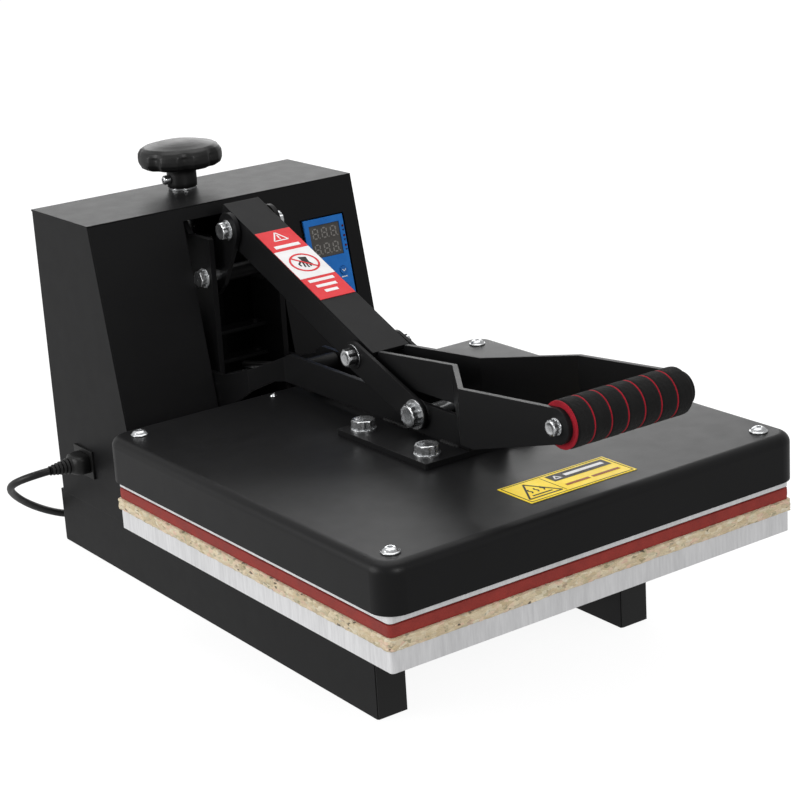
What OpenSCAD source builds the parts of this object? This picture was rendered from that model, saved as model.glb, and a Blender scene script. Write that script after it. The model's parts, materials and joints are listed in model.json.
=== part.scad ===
// Clamshell heat press, millimetres, +Z up, the grip at the front (-Y).
// The origin is on the floor, midway along the width and the depth of the press.
// Inside each module the work frame has y = 0 at the lower platen's centre.

/* [Base frame] */
// Height of the two base tubes
tube_h = 51; // [40:1:70]
// Width of a base tube
tube_w = 27; // [20:1:35]
// How far the base tubes' outsides stand in from the housing's sides
tube_inset = 2.5; // [0:0.5:12]
// Front ends of the base tubes behind the platen's front edge
tube_short = 105; // [60:1:130]
// Back ends of the base tubes behind the platen's back edge
tube_long = 229; // [225:1:260]
// Wall of the base tubes
tube_wall = 2; // [1.5:0.5:4]

/* [Lower platen] */
// Width and depth of the platens
platen_w = 380; // [300:1:460]
// Gap between the base tubes and the lower platen
stand_h = 41; // [30:1:55]
// Thickness of the lower platen
platen_t = 16.4; // [10:0.1:20]
// Thickness of the rebonded felt pad
felt_t = 9.6; // [8:0.1:14]
// How far the felt pad stands out past the platen
felt_over = 2; // [0:0.5:4]
// Thickness of the silicone pad
silicone_t = 9.3; // [5:0.1:12]

/* [Heater] */
// Gap left between the heater plate and the silicone pad
press_gap = 1.2; // [0.2:0.1:2]
// Thickness of the heater plate
heater_t = 16; // [12:1:22]
// Bottom edge of the cover above the silicone pad
cover_gap = 7.6; // [2:0.1:10]
// How far the cover stands out past the heater plate
cover_over = 5.8; // [3:0.1:15]
// Height of the cover's skirt and top
cover_h = 37.5; // [34:0.1:55]
// Wall of the cover
cover_t = 1.4; // [1:0.1:3]
// Radius of the cover's upright corners
cover_rc = 18; // [12:1:30]
// Radius of the cover's top edge
cover_re = 8; // [4:1:11]
// Cover screws in from the platen's edges
screw_in = 16; // [14:1:40]

/* [Carrier arm] */
// Gap between the lever channel's side and the arm plates' outside
arm_gap = 1; // [1:0.5:4]
// Thickness of the arm plates
arm_t = 4; // [3:0.5:5]
// Height of the arm plates above the mounting plate
arm_h = 25.6; // [20:0.1:30]
// Arm pivot behind the platen's back edge
pivot_back = 100; // [92:1:115]
// Arm pivot below the top of the mounting plate
pivot_drop = 21.4; // [12:0.1:28]
// Arm pivot shaft radius
pivot_r = 8; // [6:0.5:10]
// Width of the mounting plate
mount_w = 120; // [100:1:150]
// Depth of the mounting plate
mount_d = 118; // [100:1:140]
// Thickness of the mounting plate
mount_t = 5; // [4:0.5:8]
// Mounting bolt radius
mbolt_r = 5; // [4:0.5:6]

/* [Lever and toggle] */
// Lever pivot behind the platen's back edge
lever_back = 73; // [66:1:76]
// Lever pivot above the arm pivot
lever_up = 145; // [134:1:154]
// Toggle joint on the lever behind the platen's centre
elbow_y = 81; // [70:1:95]
// Toggle joint on the lever above the one on the arm
elbow_up = 30; // [27:1:34]
// Toggle joint on the arm behind the platen's centre
knee_y = -1; // [-12:1:12]
// Toggle joint on the arm above the mounting plate
knee_up = 16.6; // [14:0.1:19]
// Outside width of the lever channel
link_w = 36; // [28:0.1:44]
// Depth of the lever channel
link_h = 28; // [22:1:32]
// Thickness of the channel's plates
link_t = 3; // [2:0.5:4]
// Pivot bolt radius
bolt_r = 5; // [4:0.5:6]

/* [Handle] */
// Half the distance between the insides of the handle arms at the grip
grip_half = 54.5; // [48:0.5:70]
// Grip axis in front of the platen's front edge
grip_out = 24; // [10:1:50]
// Grip axis above the toggle joint on the lever
grip_up = 19; // [11:1:28]
// Thickness of the handle arms
hand_t = 4; // [3:0.5:5]
// Grip radius
grip_r = 18; // [14:0.5:24]
// Grip rod radius
core_r = 8; // [6:0.5:9]
// Number of red rings on the grip
ring_count = 6; // [3:1:8]

/* [Housing and pressure screw] */
// Half width of the housing
hous_x = 136.8; // [112:0.1:165]
// Top of the housing above the lever pivot
hous_up = 17.6; // [15:0.2:30]
// Front edge of the housing's top behind the platen's back edge
front_top = 114.8; // [110:0.2:122]
// Front face at the bottom of the housing behind the platen's back edge
front_low = 60.5; // [50:0.5:62]
// Depth of the housing's floor line, from the front face to the back
hous_d = 160.3; // [155:0.1:180]
// Sheet thickness
sheet = 1.6; // [1:0.1:2.5]
// Pressure screw behind the platen's back edge
screw_back = 186; // [178:1:190]
// Pressure screw radius
screw_r = 8; // [6:0.5:10]
// Pressure knob radius
knob_r = 38.5; // [28:1:45]

/* [Hidden] */
$fn = 64;
run = 0.05;
fit = 0.2;
gap = 0.3;
edge = platen_w / 2;
platen_z = tube_h + stand_h;
pad_z = platen_z + platen_t + felt_t + silicone_t;
heat_z = pad_z + press_gap;
cover_z = pad_z + cover_gap;
cover_top = cover_z + cover_h;
cover_w = platen_w + 2 * cover_over;
screw_sp = edge - screw_in;
mount_z = cover_top + mount_t;
mount_y = -3;
mbolt_x = mount_w / 2 - 14;
mbolt_y = mount_d / 2 - 17;
arm_top = mount_z + arm_h;
arm_x = link_w / 2 + arm_gap;
up_in = link_w / 2 + 13.5;
up_out = up_in + 5;
arm_rear_x = up_out + arm_t + 1.5;
slot_half = arm_rear_x + 2;
pivot_y = edge + pivot_back;
pivot_z = mount_z - pivot_drop;
lever_y = edge + lever_back;
lever_z = pivot_z + lever_up;
knee_z = mount_z + knee_up;
elbow_z = knee_z + elbow_up;
grip_y = -edge - grip_out;
grip_z = elbow_z + grip_up;
bend_near = grip_y + 109;
bend_far = grip_y + 173;
rocker_y = lever_y + 23;
rocker_z = lever_z - 44;
block_z = rocker_z + 2;
screw_y = edge + screw_back;
nut_w = 2 * (bolt_r + 3);
nut_s = 2 * (bolt_r + 1.5);
washer_r = bolt_r + 5;
hous_z = lever_z + hous_up;
hous_front_top = edge + front_top;
hous_front_low = edge + front_low;
hous_back = hous_front_low + hous_d;
tube_out = hous_x - tube_inset;
tube_front = -edge + tube_short;
tube_back = edge + tube_long;
plug_t = 1.5;
bar_in = 5;
bar_top = tube_h - 6;
support_t = 6;
support_y = [tube_front + 25, edge - 50];
side_z = tube_h + 0.4;
lean = atan((hous_front_top - hous_front_low) / (hous_z - side_z));
link_a = atan((lever_z - elbow_z) / (lever_y - elbow_y));
link_len = norm([lever_y - elbow_y, lever_z - elbow_z]);
function under_link(d) = elbow_z + d * tan(link_a) + (14 - link_t) / cos(link_a);
ctrl_x = hous_x - 38.8;
ctrl_z = hous_z - 74;
led_x = ctrl_x + 19.4;
inlet_y = hous_back - 54.8;
inlet_z = side_z + 42.6;
switch_z = side_z + 53.6;
y_mid = (tube_back + plug_t + grip_y - grip_r) / 2;

// the mains cord: its line from the connector to the coil, then the coil behind the press
cord_r = 3.5;
cord_sides = 10;
route = [[-173.1, 356, 94], [-177.6, 356.5, 93.9], [-183.5, 360.4, 92], [-191.9, 367.3, 88.8],
  [-196.5, 376.8, 84.1], [-197.2, 386.8, 78.6], [-195, 396.5, 72.8], [-190.9, 405.3, 66.6],
  [-185.6, 413.4, 60.3], [-179.4, 420.7, 53.9], [-172.6, 427.3, 47.4], [-165.2, 433.4, 41],
  [-157.2, 438.9, 34.7], [-148.8, 443.8, 28.6], [-139.7, 447.9, 22.7], [-130.2, 451.1, 17.2],
  [-119.9, 453.3, 12.3], [-109.1, 454, 8.4], [-98, 453, 5.7], [-86.8, 450.6, 4.3], [-75.7, 447.4, 3.7],
  [-64.6, 444.3, 3.5], [-53.4, 441.8, 3.5], [-42, 440, 3.5]];
coil_c = [-24, 486];
coil_r = 46;
coil_pitch = 7.1;

// ---------- helpers ----------
module shift() translate([0, -y_mid, 0]) children();
module both() { children(); mirror([1, 0, 0]) children(); }
// children drawn with (y, z) as their plane, from x0 to x1
module yz(x0, x1) translate([x0, 0, 0]) rotate([90, 0, 90]) linear_extrude(x1 - x0) children();
module rod(x0, x1, y, z, r, fn = 48)
  translate([x0, y, z]) rotate([0, 90, 0]) cylinder(r = r, h = x1 - x0, $fn = fn);
module hex(x0, x1, y, z, af) rod(x0, x1, y, z, af / 2 / cos(30), 6);
module box(a, b) translate(a) cube(b - a);
module rrect(w, h, r) {
  square([w - 2 * r, h], center = true);
  square([w, h - 2 * r], center = true);
  for (x = [-1, 1], y = [-1, 1]) translate([x * (w / 2 - r), y * (h / 2 - r)]) circle(r);
}
module slot2(y, z, w, r) {
  translate([y - w / 2, z]) circle(r);
  translate([y + w / 2, z]) circle(r);
  translate([y - w / 2, z - r]) square([w, 2 * r]);
}
// children drawn in the housing's leaning front plane: x along X, y up the slope, z outwards
module on_back() translate([-hous_x + 38.8, hous_back, side_z + 40.6]) rotate([-90, 0, 0]) children();
module on_front(z) translate([0, front_y(z), z]) rotate([90 - lean, 0, 0]) children();
function front_y(z) = hous_front_low + (z - side_z) * tan(lean);
// children drawn along the lever channel: x to the back from the elbow, y up, from x0 to x1
module along_link(x0, x1)
  translate([x0, elbow_y, elbow_z]) rotate([90, 0, 90]) rotate(link_a)
    linear_extrude(x1 - x0) children();
module lid(w, h, rc, re) {
  linear_extrude(h - re) rrect(w, w, rc);
  linear_extrude(h) square([w - 2 * rc, w - 2 * re], center = true);
  linear_extrude(h) square([w - 2 * re, w - 2 * rc], center = true);
  for (a = [0:90:270]) rotate(a) {
    translate([-(w / 2 - rc), -(w / 2 - re), h - re]) rotate([0, 90, 0])
      cylinder(r = re, h = w - 2 * rc);
    translate([w / 2 - rc, w / 2 - rc, 0]) rotate_extrude() {
      square([rc - re, h]);
      square([rc, h - re]);
      translate([rc - re, h - re]) intersection() { circle(re); square(re); }
    }
  }
}

// ---------- base ----------
module base_tube() difference() {
  box([tube_out - tube_w, tube_front, 0], [tube_out, tube_back, tube_h]);
  box([tube_out - tube_w + tube_wall, tube_front - 1, tube_wall],
      [tube_out - tube_wall, tube_back + 1, tube_h - tube_wall]);
}
module base_tube_right() color([0.03, 0.03, 0.035]) base_tube();
module base_tube_left() color([0.03, 0.03, 0.035]) mirror([1, 0, 0]) base_tube();
module tube_end_plugs() color([0.05, 0.05, 0.05]) both() for (e = [[tube_front, -1], [tube_back, 1]]) {
  y0 = e[0] + (e[1] > 0 ? 0 : -plug_t);
  box([tube_out - tube_w + 0.5, y0, 0.5], [tube_out - 0.5, y0 + plug_t, tube_h - 0.5]);
  y1 = e[0] + (e[1] > 0 ? -12 : 0);
  box([tube_out - tube_w + tube_wall + fit, y1, tube_wall + fit],
      [tube_out - tube_wall - fit, y1 + 12, tube_h - tube_wall - fit]);
}
module cross_bar(y0, y1) difference() {
  box([-(tube_out - tube_w), y0, bar_in], [tube_out - tube_w, y1, bar_top]);
  box([-hous_x, y0 + tube_wall, bar_in + tube_wall], [hous_x, y1 - tube_wall, bar_top - tube_wall]);
}
module base_cross_bars() color([0.03, 0.03, 0.035]) {
  cross_bar(tube_front + 72, tube_front + 97);
  cross_bar(pivot_y - 24, pivot_y + 16);
  cross_bar(hous_back - 38.8, hous_back - 6.8);
}
module platen_supports() color([0.04, 0.04, 0.045]) for (y = support_y)
  box([-edge + 40, y - 20, platen_z - support_t], [edge - 40, y + 20, platen_z]);
module platen_standoffs() color([0.75, 0.76, 0.78]) both() for (y = support_y)
  translate([tube_out - tube_w / 2, y, tube_h]) {
    cylinder(r = 8, h = stand_h - support_t);
    cylinder(r = 10 / cos(30), h = 8, $fn = 6);
  }
module lower_platen() color([0.78, 0.79, 0.8])
  translate([0, 0, platen_z]) linear_extrude(platen_t) rrect(platen_w, platen_w, 3);
module felt_pad() color([0.72, 0.6, 0.42]) translate([0, 0, platen_z + platen_t])
  linear_extrude(felt_t) rrect(platen_w + 2 * felt_over, platen_w + 2 * felt_over, 4);
module silicone_pad() color([0.55, 0.08, 0.06])
  translate([0, 0, platen_z + platen_t + felt_t]) linear_extrude(silicone_t)
    rrect(platen_w, platen_w, 4);

// ---------- frame inside the housing ----------
module upright() difference() {
  yz(up_in, up_out) polygon([[pivot_y - 16, bar_top], [pivot_y - 16, lever_z - 8],
    [pivot_y + 18, lever_z - 8], [pivot_y + 32, hous_z - sheet - 8],
    [hous_back - 10.8, hous_z - sheet - 8], [hous_back - 10.8, bar_top]]);
  rod(0, 60, pivot_y, pivot_z, pivot_r + run);
  rod(0, 60, rocker_y, rocker_z, bolt_r + run);
  yz(0, 60) polygon([[pivot_y + 32, side_z + 38.6], [pivot_y + 32, rocker_z - 17],
    [pivot_y + 62, rocker_z - 17], [screw_y + 8, rocker_z - 47], [screw_y + 8, side_z + 38.6]]);
}
module uprights() color([0.04, 0.04, 0.045]) both() upright();
module frame_cross_plates() color([0.05, 0.05, 0.055]) {
  for (z = [pivot_z + 14, pivot_z + 41]) {
    box([-up_in, pivot_y + 11, z], [up_in, pivot_y + 28, z + 3]);
    for (x = [-24, 24]) translate([x, pivot_y + 18, z + 3]) cylinder(r = 3.2, h = 2.4, $fn = 24);
  }
  difference() {
    box([-up_out, pivot_y + 32, hous_z - sheet - 8], [up_out, hous_back - 10.8, hous_z - sheet]);
    translate([0, screw_y, 0]) cylinder(r = screw_r + run, h = 400);
  }
}
module arm_pivot_shaft() color([0.7, 0.71, 0.73]) {
  rod(-arm_rear_x - 6, arm_rear_x + 6, pivot_y, pivot_z, pivot_r);
  both() difference() {
    rod(arm_rear_x + 1, arm_rear_x + 3, pivot_y, pivot_z, pivot_r + 6);
    rod(arm_rear_x, arm_rear_x + 4, pivot_y, pivot_z, pivot_r);
  }
  both() difference() {
    rod(up_out, arm_rear_x - arm_t - 0.5, pivot_y, pivot_z, pivot_r + 5);
    rod(up_out - 1, arm_rear_x, pivot_y, pivot_z, pivot_r);
  }
  both() difference() {
    hex(arm_rear_x + 3, arm_rear_x + 11, pivot_y, pivot_z, 2 * pivot_r + 8);
    rod(arm_rear_x, arm_rear_x + 6, pivot_y, pivot_z, pivot_r);
  }
}
module rocker_pivot_bolt() color([0.72, 0.73, 0.75]) {
  rod(-up_out - 7, up_out + 7, rocker_y, rocker_z, bolt_r);
  both() difference() {
    union() {
      rod(up_out, up_out + 1.5, rocker_y, rocker_z, washer_r - 1.2);
      hex(up_out + 1.5, up_out + 7, rocker_y, rocker_z, nut_s);
    }
    rod(up_out - 1, up_out + 20, rocker_y, rocker_z, bolt_r);
  }
}

// ---------- housing ----------
module hous_outline(g = 0) polygon([[hous_front_low + g, side_z], [hous_front_top + g, hous_z - sheet],
  [hous_back - sheet, hous_z - sheet], [hous_back - sheet, side_z]]);
module hous_side() color([0.035, 0.035, 0.04]) yz(hous_x - sheet, hous_x) hous_outline();
module housing_side_right() difference() {
  hous_side();
  box([hous_x - 5, inlet_y - 14, switch_z - 11], [hous_x + 5, inlet_y + 14, switch_z + 11]);
}
module housing_side_left() difference() {
  mirror([1, 0, 0]) hous_side();
  box([-hous_x - 5, inlet_y - 14, inlet_z - 10], [-hous_x + 5, inlet_y + 14, inlet_z + 10]);
}
module housing_front() color([0.035, 0.035, 0.04]) difference() {
  yz(-hous_x + sheet, hous_x - sheet) polygon([[hous_front_low, side_z],
    [hous_front_top, hous_z - sheet], [hous_front_top + sheet, hous_z - sheet],
    [hous_front_low + sheet, side_z]]);
  box([-slot_half, edge, pivot_z - 28], [slot_half, hous_back - 50, hous_z - 12.1]);
  on_front(ctrl_z) box([ctrl_x - 24, -40, -6], [ctrl_x + 24, 42, 6]);
}
module housing_top() color([0.035, 0.035, 0.04]) difference() {
  box([-hous_x, hous_front_top, hous_z - sheet], [hous_x, hous_back, hous_z]);
  translate([0, screw_y, 0]) cylinder(r = screw_r + 4, h = 400);
}
module housing_back() color([0.035, 0.035, 0.04]) difference() {
  box([-hous_x + sheet, hous_back - sheet, side_z], [hous_x - sheet, hous_back, hous_z - sheet]);
  for (i = [0:5]) translate([-hous_x + 28 + 12 * i, 0, 0])
    box([-2.5, hous_back - 10, ctrl_z - 50], [2.5, hous_back + 10, ctrl_z + 10]);
  on_back() translate([0, 0, -10]) cylinder(r = 7 + fit, h = 20);
}
module housing_screws() color([0.2, 0.2, 0.21]) {
  for (z = [side_z + 14.6, hous_z - 23.6]) both() translate([hous_x - 10, hous_back, z])
    rotate([-90, 0, 0]) cylinder(r = 4, h = 2.2);
}

// ---------- controller ----------
// children drawn on the middle of the controller: x along X, y up the slope, z outwards
module on_panel() on_front(ctrl_z) translate([ctrl_x, 0, 0]) children();
module controller_bezel() color([0.05, 0.3, 0.62]) on_panel() difference() {
  box([-22, -39, 0], [21, 41, 1.6]);
  box([-17, 5, -1], [16, 35, 3]);
  for (i = [0:3]) translate([-12 + 24 * (i % 2), -10 - 16 * floor(i / 2), -1])
    cylinder(r = 3.9 + gap, h = 4);
  for (i = [0:2]) translate([19.4, 30 - 9 * i, -1]) cylinder(r = 1.1, h = 4);
}
module controller_display() color([0.35, 0.38, 0.38]) on_panel()
  box([-17 + fit, 5 + fit, -1.5], [16 - fit, 35 - fit, 0.9]);
module controller_case() color([0.07, 0.07, 0.08]) on_panel() difference() {
  box([-22, -38, -32], [22, 40, -2.2]);
  box([-20, -36, -30], [20, 38, -1]);
}
module indicator_leds() color([0.6, 0.1, 0.08]) on_panel()
  for (i = [0:2]) translate([19.4, 30 - 9 * i, -1.5]) cylinder(r = 0.95, h = 3.6, $fn = 24);
module button(i) color([0.06, 0.3, 0.6]) on_panel()
  translate([-12 + 24 * (i % 2), -10 - 16 * floor(i / 2), -1.6]) cylinder(r = 3.9, h = 4.2);
module button_1() button(0);
module button_2() button(1);
module button_3() button(2);
module button_4() button(3);

// ---------- power parts ----------
module power_inlet() color([0.04, 0.04, 0.04]) difference() {
  union() {
    box([-hous_x - 2, inlet_y - 17, inlet_z - 13], [-hous_x, inlet_y + 17, inlet_z + 13]);
    box([-hous_x - 1, inlet_y - 13.6, inlet_z - 9.6], [-hous_x + 22, inlet_y + 13.6, inlet_z + 9.6]);
  }
  box([-hous_x - 5, inlet_y - 11.5, inlet_z - 7.5], [-hous_x + 16, inlet_y + 11.5, inlet_z + 7.5]);
}
module switch_frame() color([0.04, 0.04, 0.04]) difference() {
  union() {
    box([hous_x, inlet_y - 16, switch_z - 13], [hous_x + 1.8, inlet_y + 16, switch_z + 13]);
    box([hous_x - 20, inlet_y - 13.6, switch_z - 10.6], [hous_x + 1, inlet_y + 13.6, switch_z + 10.6]);
  }
  box([hous_x - 17, inlet_y - 11.6, switch_z - 8.6], [hous_x + 5, inlet_y + 11.6, switch_z + 8.6]);
}
module power_switch() color([0.45, 0.03, 0.03]) translate([hous_x - 1, inlet_y, switch_z])
  rotate([90, 0, 0]) {
    translate([0, 0, -10.8]) linear_extrude(21.6)
      polygon([[-8, -6.5], [-8, 6.5], [1.6, 7.9], [4.8, 7.9], [2.2, 0], [1.2, -7.9]]);
    translate([-2, 0, -11.3]) cylinder(r = 2, h = 22.6, $fn = 32);
  }
module fuse_holder() color([0.04, 0.04, 0.04]) on_back() {
  cylinder(r = 9, h = 2);
  translate([0, 0, -20]) cylinder(r = 7, h = 20);
  translate([0, 0, 2]) cylinder(r = 6, h = 5);
}
module cord_connector() color([0.05, 0.05, 0.05]) {
  box([-hous_x + 2, inlet_y - 11.2, inlet_z - 7.2], [-hous_x - 2, inlet_y + 11.2, inlet_z + 7.2]);
  box([-hous_x - 15.2, inlet_y - 13, inlet_z - 9], [-hous_x - 2, inlet_y + 13, inlet_z + 9]);
  translate([-hous_x - 15.2, inlet_y, inlet_z]) rotate([0, -90, 0]) cylinder(r1 = 8.8, r2 = 4.4, h = 21);
}

// ---------- cord ----------
function unit(v) = v / norm(v);
function along(i) = unit(route[min(i + 1, len(route) - 1)] - route[max(i - 1, 0)]);
function across(i) = unit(cross([0, 0, 1], along(i)));
function ring(i) = [for (k = [0:cord_sides - 1])
  route[i] + cord_r * (cos(360 * k / cord_sides) * across(i)
    + sin(360 * k / cord_sides) * cross(along(i), across(i)))];
function side_faces(i) = [for (k = [0:cord_sides - 1])
  let (a = i * cord_sides + k, b = i * cord_sides + (k + 1) % cord_sides)
  each [[a, b, a + cord_sides], [b, b + cord_sides, a + cord_sides]]];
module cord_cable() color([0.05, 0.05, 0.05]) {
  n = len(route);
  first = [for (k = [cord_sides - 1:-1:0]) k];
  last = [for (k = [0:cord_sides - 1]) (n - 1) * cord_sides + k];
  polyhedron(points = [for (i = [0:n - 1]) each ring(i)],
    faces = [first, last, for (i = [0:n - 2]) each side_faces(i)]);
}
module cord_coil() color([0.05, 0.05, 0.05]) translate([coil_c[0], coil_c[1], 0]) rotate_extrude()
  translate([coil_r - coil_pitch - cord_r, 0]) square([coil_pitch + 2 * cord_r, 2 * coil_pitch + 2 * cord_r]);
module cord_plug() color([0.05, 0.05, 0.05]) translate([coil_c[0] + 16, coil_c[1] - coil_r, 0]) {
  translate([0, 0, 17.7]) rotate([0, 98, 0]) cylinder(r1 = 4.4, r2 = 7.5, h = 34);
  translate([32, -13, 0]) cube([34, 26, 24]);
  for (y = [-6.4, 6.4]) translate([65, y - 0.8, 13]) cube([18, 1.6, 6.4]);
  translate([65, 0, 6]) rotate([0, 90, 0]) cylinder(r = 2.4, h = 20, $fn = 24);
}

// ---------- carrier arm and heater ----------
module arm_plan() {
  s = arm_t * tan(22.5);
  y1 = edge + 4;
  y2 = y1 + arm_rear_x - arm_x;
  polygon([[arm_x, mount_y - mount_d / 2], [arm_x, y1], [arm_rear_x, y2], [arm_rear_x, pivot_y + 30],
    [arm_rear_x - arm_t, pivot_y + 30], [arm_rear_x - arm_t, y2 + s], [arm_x - arm_t, y1 + s],
    [arm_x - arm_t, mount_y - mount_d / 2]]);
}
module arm_side() difference() {
  intersection() {
    linear_extrude(400) arm_plan();
    yz(0, 60) {
      polygon([[mount_y - mount_d / 2, mount_z], [mount_y - mount_d / 2, arm_top - 6],
        [mount_y - mount_d / 2 + 8, arm_top], [edge - 4, arm_top], [edge + 26, arm_top - 15],
        [pivot_y - 28, pivot_z + pivot_r + 9.6], [pivot_y, pivot_z + pivot_r + 9],
        [pivot_y, pivot_z - pivot_r - 9], [pivot_y - 28, pivot_z - pivot_r - 7], [edge + 12, mount_z]]);
      translate([pivot_y, pivot_z]) circle(pivot_r + 9);
    }
  }
  rod(0, 60, pivot_y, pivot_z, pivot_r + run);
  rod(0, 60, knee_y, knee_z, bolt_r + run);
}
module arm_sides() color([0.04, 0.04, 0.045]) both() arm_side();
module arm_cross_tube() color([0.05, 0.05, 0.055]) {
  rod(-(arm_x - arm_t), arm_x - arm_t, edge - 24, arm_top - 11, 10);
  box([-(arm_x - arm_t), 62, mount_z], [arm_x - arm_t, 66, arm_top - 10]);
}
module mounting_plate() color([0.045, 0.045, 0.05]) difference() {
  translate([0, mount_y, cover_top]) linear_extrude(mount_t) rrect(mount_w, mount_d, 2);
  mbolt_spots() cylinder(r = mbolt_r + gap, h = arm_top);
}
module mbolt_spots() for (x = [-mbolt_x, mbolt_x], y = [-mbolt_y, mbolt_y])
  translate([x, mount_y + y, 0]) children();
module mounting_bolts() color([0.75, 0.76, 0.78]) mbolt_spots() {
  translate([0, 0, heat_z + heater_t]) cylinder(r = mbolt_r, h = mount_z - heat_z - heater_t);
  translate([0, 0, mount_z]) cylinder(r = mbolt_r + 5.5, h = 2);
  translate([0, 0, mount_z + 2]) cylinder(r = (mbolt_r + 3.2) / cos(30), h = 6.8, $fn = 6);
}
module knee_bolt() color([0.75, 0.76, 0.78]) {
  rod(-arm_x - 6.6, arm_x + 6.6, knee_y, knee_z, bolt_r);
  both() difference() {
    rod(arm_x, arm_x + 0.9, knee_y, knee_z, washer_r + 2);
    rod(arm_x - 1, arm_x + 2, knee_y, knee_z, bolt_r);
  }
  both() difference() {
    union() {
      rod(arm_x + 4.2, arm_x + 6, knee_y, knee_z, washer_r + 2);
      hex(arm_x + 6, arm_x + 12.4, knee_y, knee_z, nut_w);
    }
    rod(arm_x, arm_x + 6.6, knee_y, knee_z, bolt_r);
  }
}
module cover_holes(r) for (x = [-1, 1], y = [-1, 1])
  translate([x * screw_sp, y * screw_sp, cover_z]) cylinder(r = r, h = 60);
module top_cover() color([0.03, 0.03, 0.035]) difference() {
  translate([0, 0, cover_z]) lid(cover_w, cover_h, cover_rc, cover_re);
  translate([0, 0, cover_z - 1])
    lid(cover_w - 2 * cover_t, cover_h + 1 - cover_t, cover_rc - cover_t, cover_re - cover_t);
  cover_holes(2.8);
  mbolt_spots() cylinder(r = mbolt_r + gap, h = arm_top);
  translate([0, edge - 12, cover_z]) cylinder(r = 7, h = 60);
}
module cover_screws() color([0.8, 0.81, 0.83]) for (x = [-1, 1], y = [-1, 1])
  translate([x * screw_sp, y * screw_sp, 0]) {
    translate([0, 0, heat_z + heater_t]) cylinder(r = 2.5, h = cover_top - heat_z - heater_t);
    translate([0, 0, cover_top]) cylinder(r = 7, h = 1.2);
    translate([0, 0, cover_top + 1.2]) intersection() {
      translate([0, 0, -4.2]) sphere(r = 7);
      cylinder(r = 6, h = 5);
    }
  }
module heater_plate() color([0.72, 0.72, 0.73])
  translate([0, 0, heat_z]) linear_extrude(heater_t) rrect(platen_w, platen_w, 4);
module heating_element() color([0.35, 0.33, 0.3]) {
  z = heat_z + heater_t + 4;
  for (i = [0:5]) translate([-125 + 50 * i, -105, z]) rotate([-90, 0, 0])
    cylinder(r = 4, h = 210 + (i == 5 || i == 0 ? 45 : 0), $fn = 32);
  for (i = [0:4]) translate([-100 + 50 * i, i % 2 == 0 ? -105 : 105, z])
    rotate(i % 2 == 0 ? 180 : 0) rotate_extrude(angle = 180) translate([25, 0]) circle(4, $fn = 32);
}
module insulation_board() color([0.85, 0.83, 0.76]) difference() {
  translate([0, 0, heat_z + heater_t + 8.2]) linear_extrude(10) square(platen_w - 60, center = true);
  mbolt_spots() cylinder(r = mbolt_r + 1, h = arm_top);
}
module hot_label() color([0.9, 0.75, 0.05])
  box([-48, -edge + 19, cover_top], [52, -edge + 58, cover_top + 0.4]);
module heater_lead() color([0.12, 0.11, 0.11]) {
  drop = atan((cover_top + 15 - pivot_z - 12.5) / (pivot_y - edge));
  translate([0, edge - 12, cover_top - 8]) cylinder(r = 6.8, h = 8);
  translate([0, edge - 12, cover_top]) cylinder(r = 9, h = 3);
  translate([0, edge, cover_top + 3]) rotate([90, 0, 90]) rotate(90 - drop)
    rotate_extrude(angle = 90 + drop) translate([12, 0]) circle(3);
  translate([0, edge, cover_top + 3]) rotate([-90 - drop, 0, 0]) translate([0, -12, 0])
    cylinder(r = 3, h = (pivot_y - edge) / cos(drop));
}

// ---------- lever ----------
module link_holes(r) { circle(r); translate([link_len, 0]) circle(r); }
module link_sides() color([0.04, 0.04, 0.045]) both() difference() {
  along_link(link_w / 2 - link_t, link_w / 2) difference() {
    union() {
      translate([-8, 14 - link_h]) square([link_len + 27, link_h]);
      translate([-17, 0]) square([10, 14]);
      translate([-6, 0]) circle(11);
    }
    link_holes(bolt_r + run);
    translate([-20, 14 - link_t]) square([link_len + 60, link_t + 1]);
  }
}
module link_top() color([0.05, 0.05, 0.055])
  along_link(-link_w / 2, link_w / 2) translate([-17, 14 - link_t]) square([link_len + 36, link_t]);
module link_label() color([0.8, 0.05, 0.05])
  along_link(-link_w / 2 + 0.5, link_w / 2 - 0.5) translate([61, 14]) square([104, 0.4]);
module handle_plan() {
  xi = link_w / 2 - link_t - hand_t;
  b = atan((grip_half - xi) / (bend_far - bend_near));
  s = hand_t * tan(b / 2);
  polygon([[xi + hand_t, elbow_y + 19], [xi + hand_t, bend_far], [grip_half + hand_t, bend_near],
    [grip_half + hand_t, grip_y - 46], [grip_half, grip_y - 46], [grip_half, bend_near - s],
    [xi, bend_far - s], [xi, elbow_y + 19]]);
}
module handle_arm() difference() {
  intersection() {
    linear_extrude(400) handle_plan();
    yz(0, 120) {
      polygon([[elbow_y + 17, under_link(17) - 0.15], [elbow_y - 15, under_link(-15) - 0.6], [elbow_y - 19, elbow_z + 2.5],
        [elbow_y - 22.5, elbow_z + 2.5], [elbow_y - 24, elbow_z + 7], [bend_far, elbow_z + 16.5],
        [bend_near, elbow_z + 22], [grip_y, grip_z + 13], [grip_y, grip_z - 13],
        [bend_near - 15, elbow_z - 21], [bend_near + 1, elbow_z - 21], [bend_far - 15, elbow_z - 14],
        [elbow_y - 91, elbow_z - 14.5], [elbow_y - 61, elbow_z - 15], [elbow_y + 17, elbow_z - 11]]);
      translate([grip_y, grip_z]) circle(13);
    }
  }
  rod(0, 60, elbow_y, elbow_z, bolt_r + run);
  rod(0, 120, grip_y, grip_z, 4 + run);
}
module handle_arms() color([0.04, 0.04, 0.045]) both() handle_arm();
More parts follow.
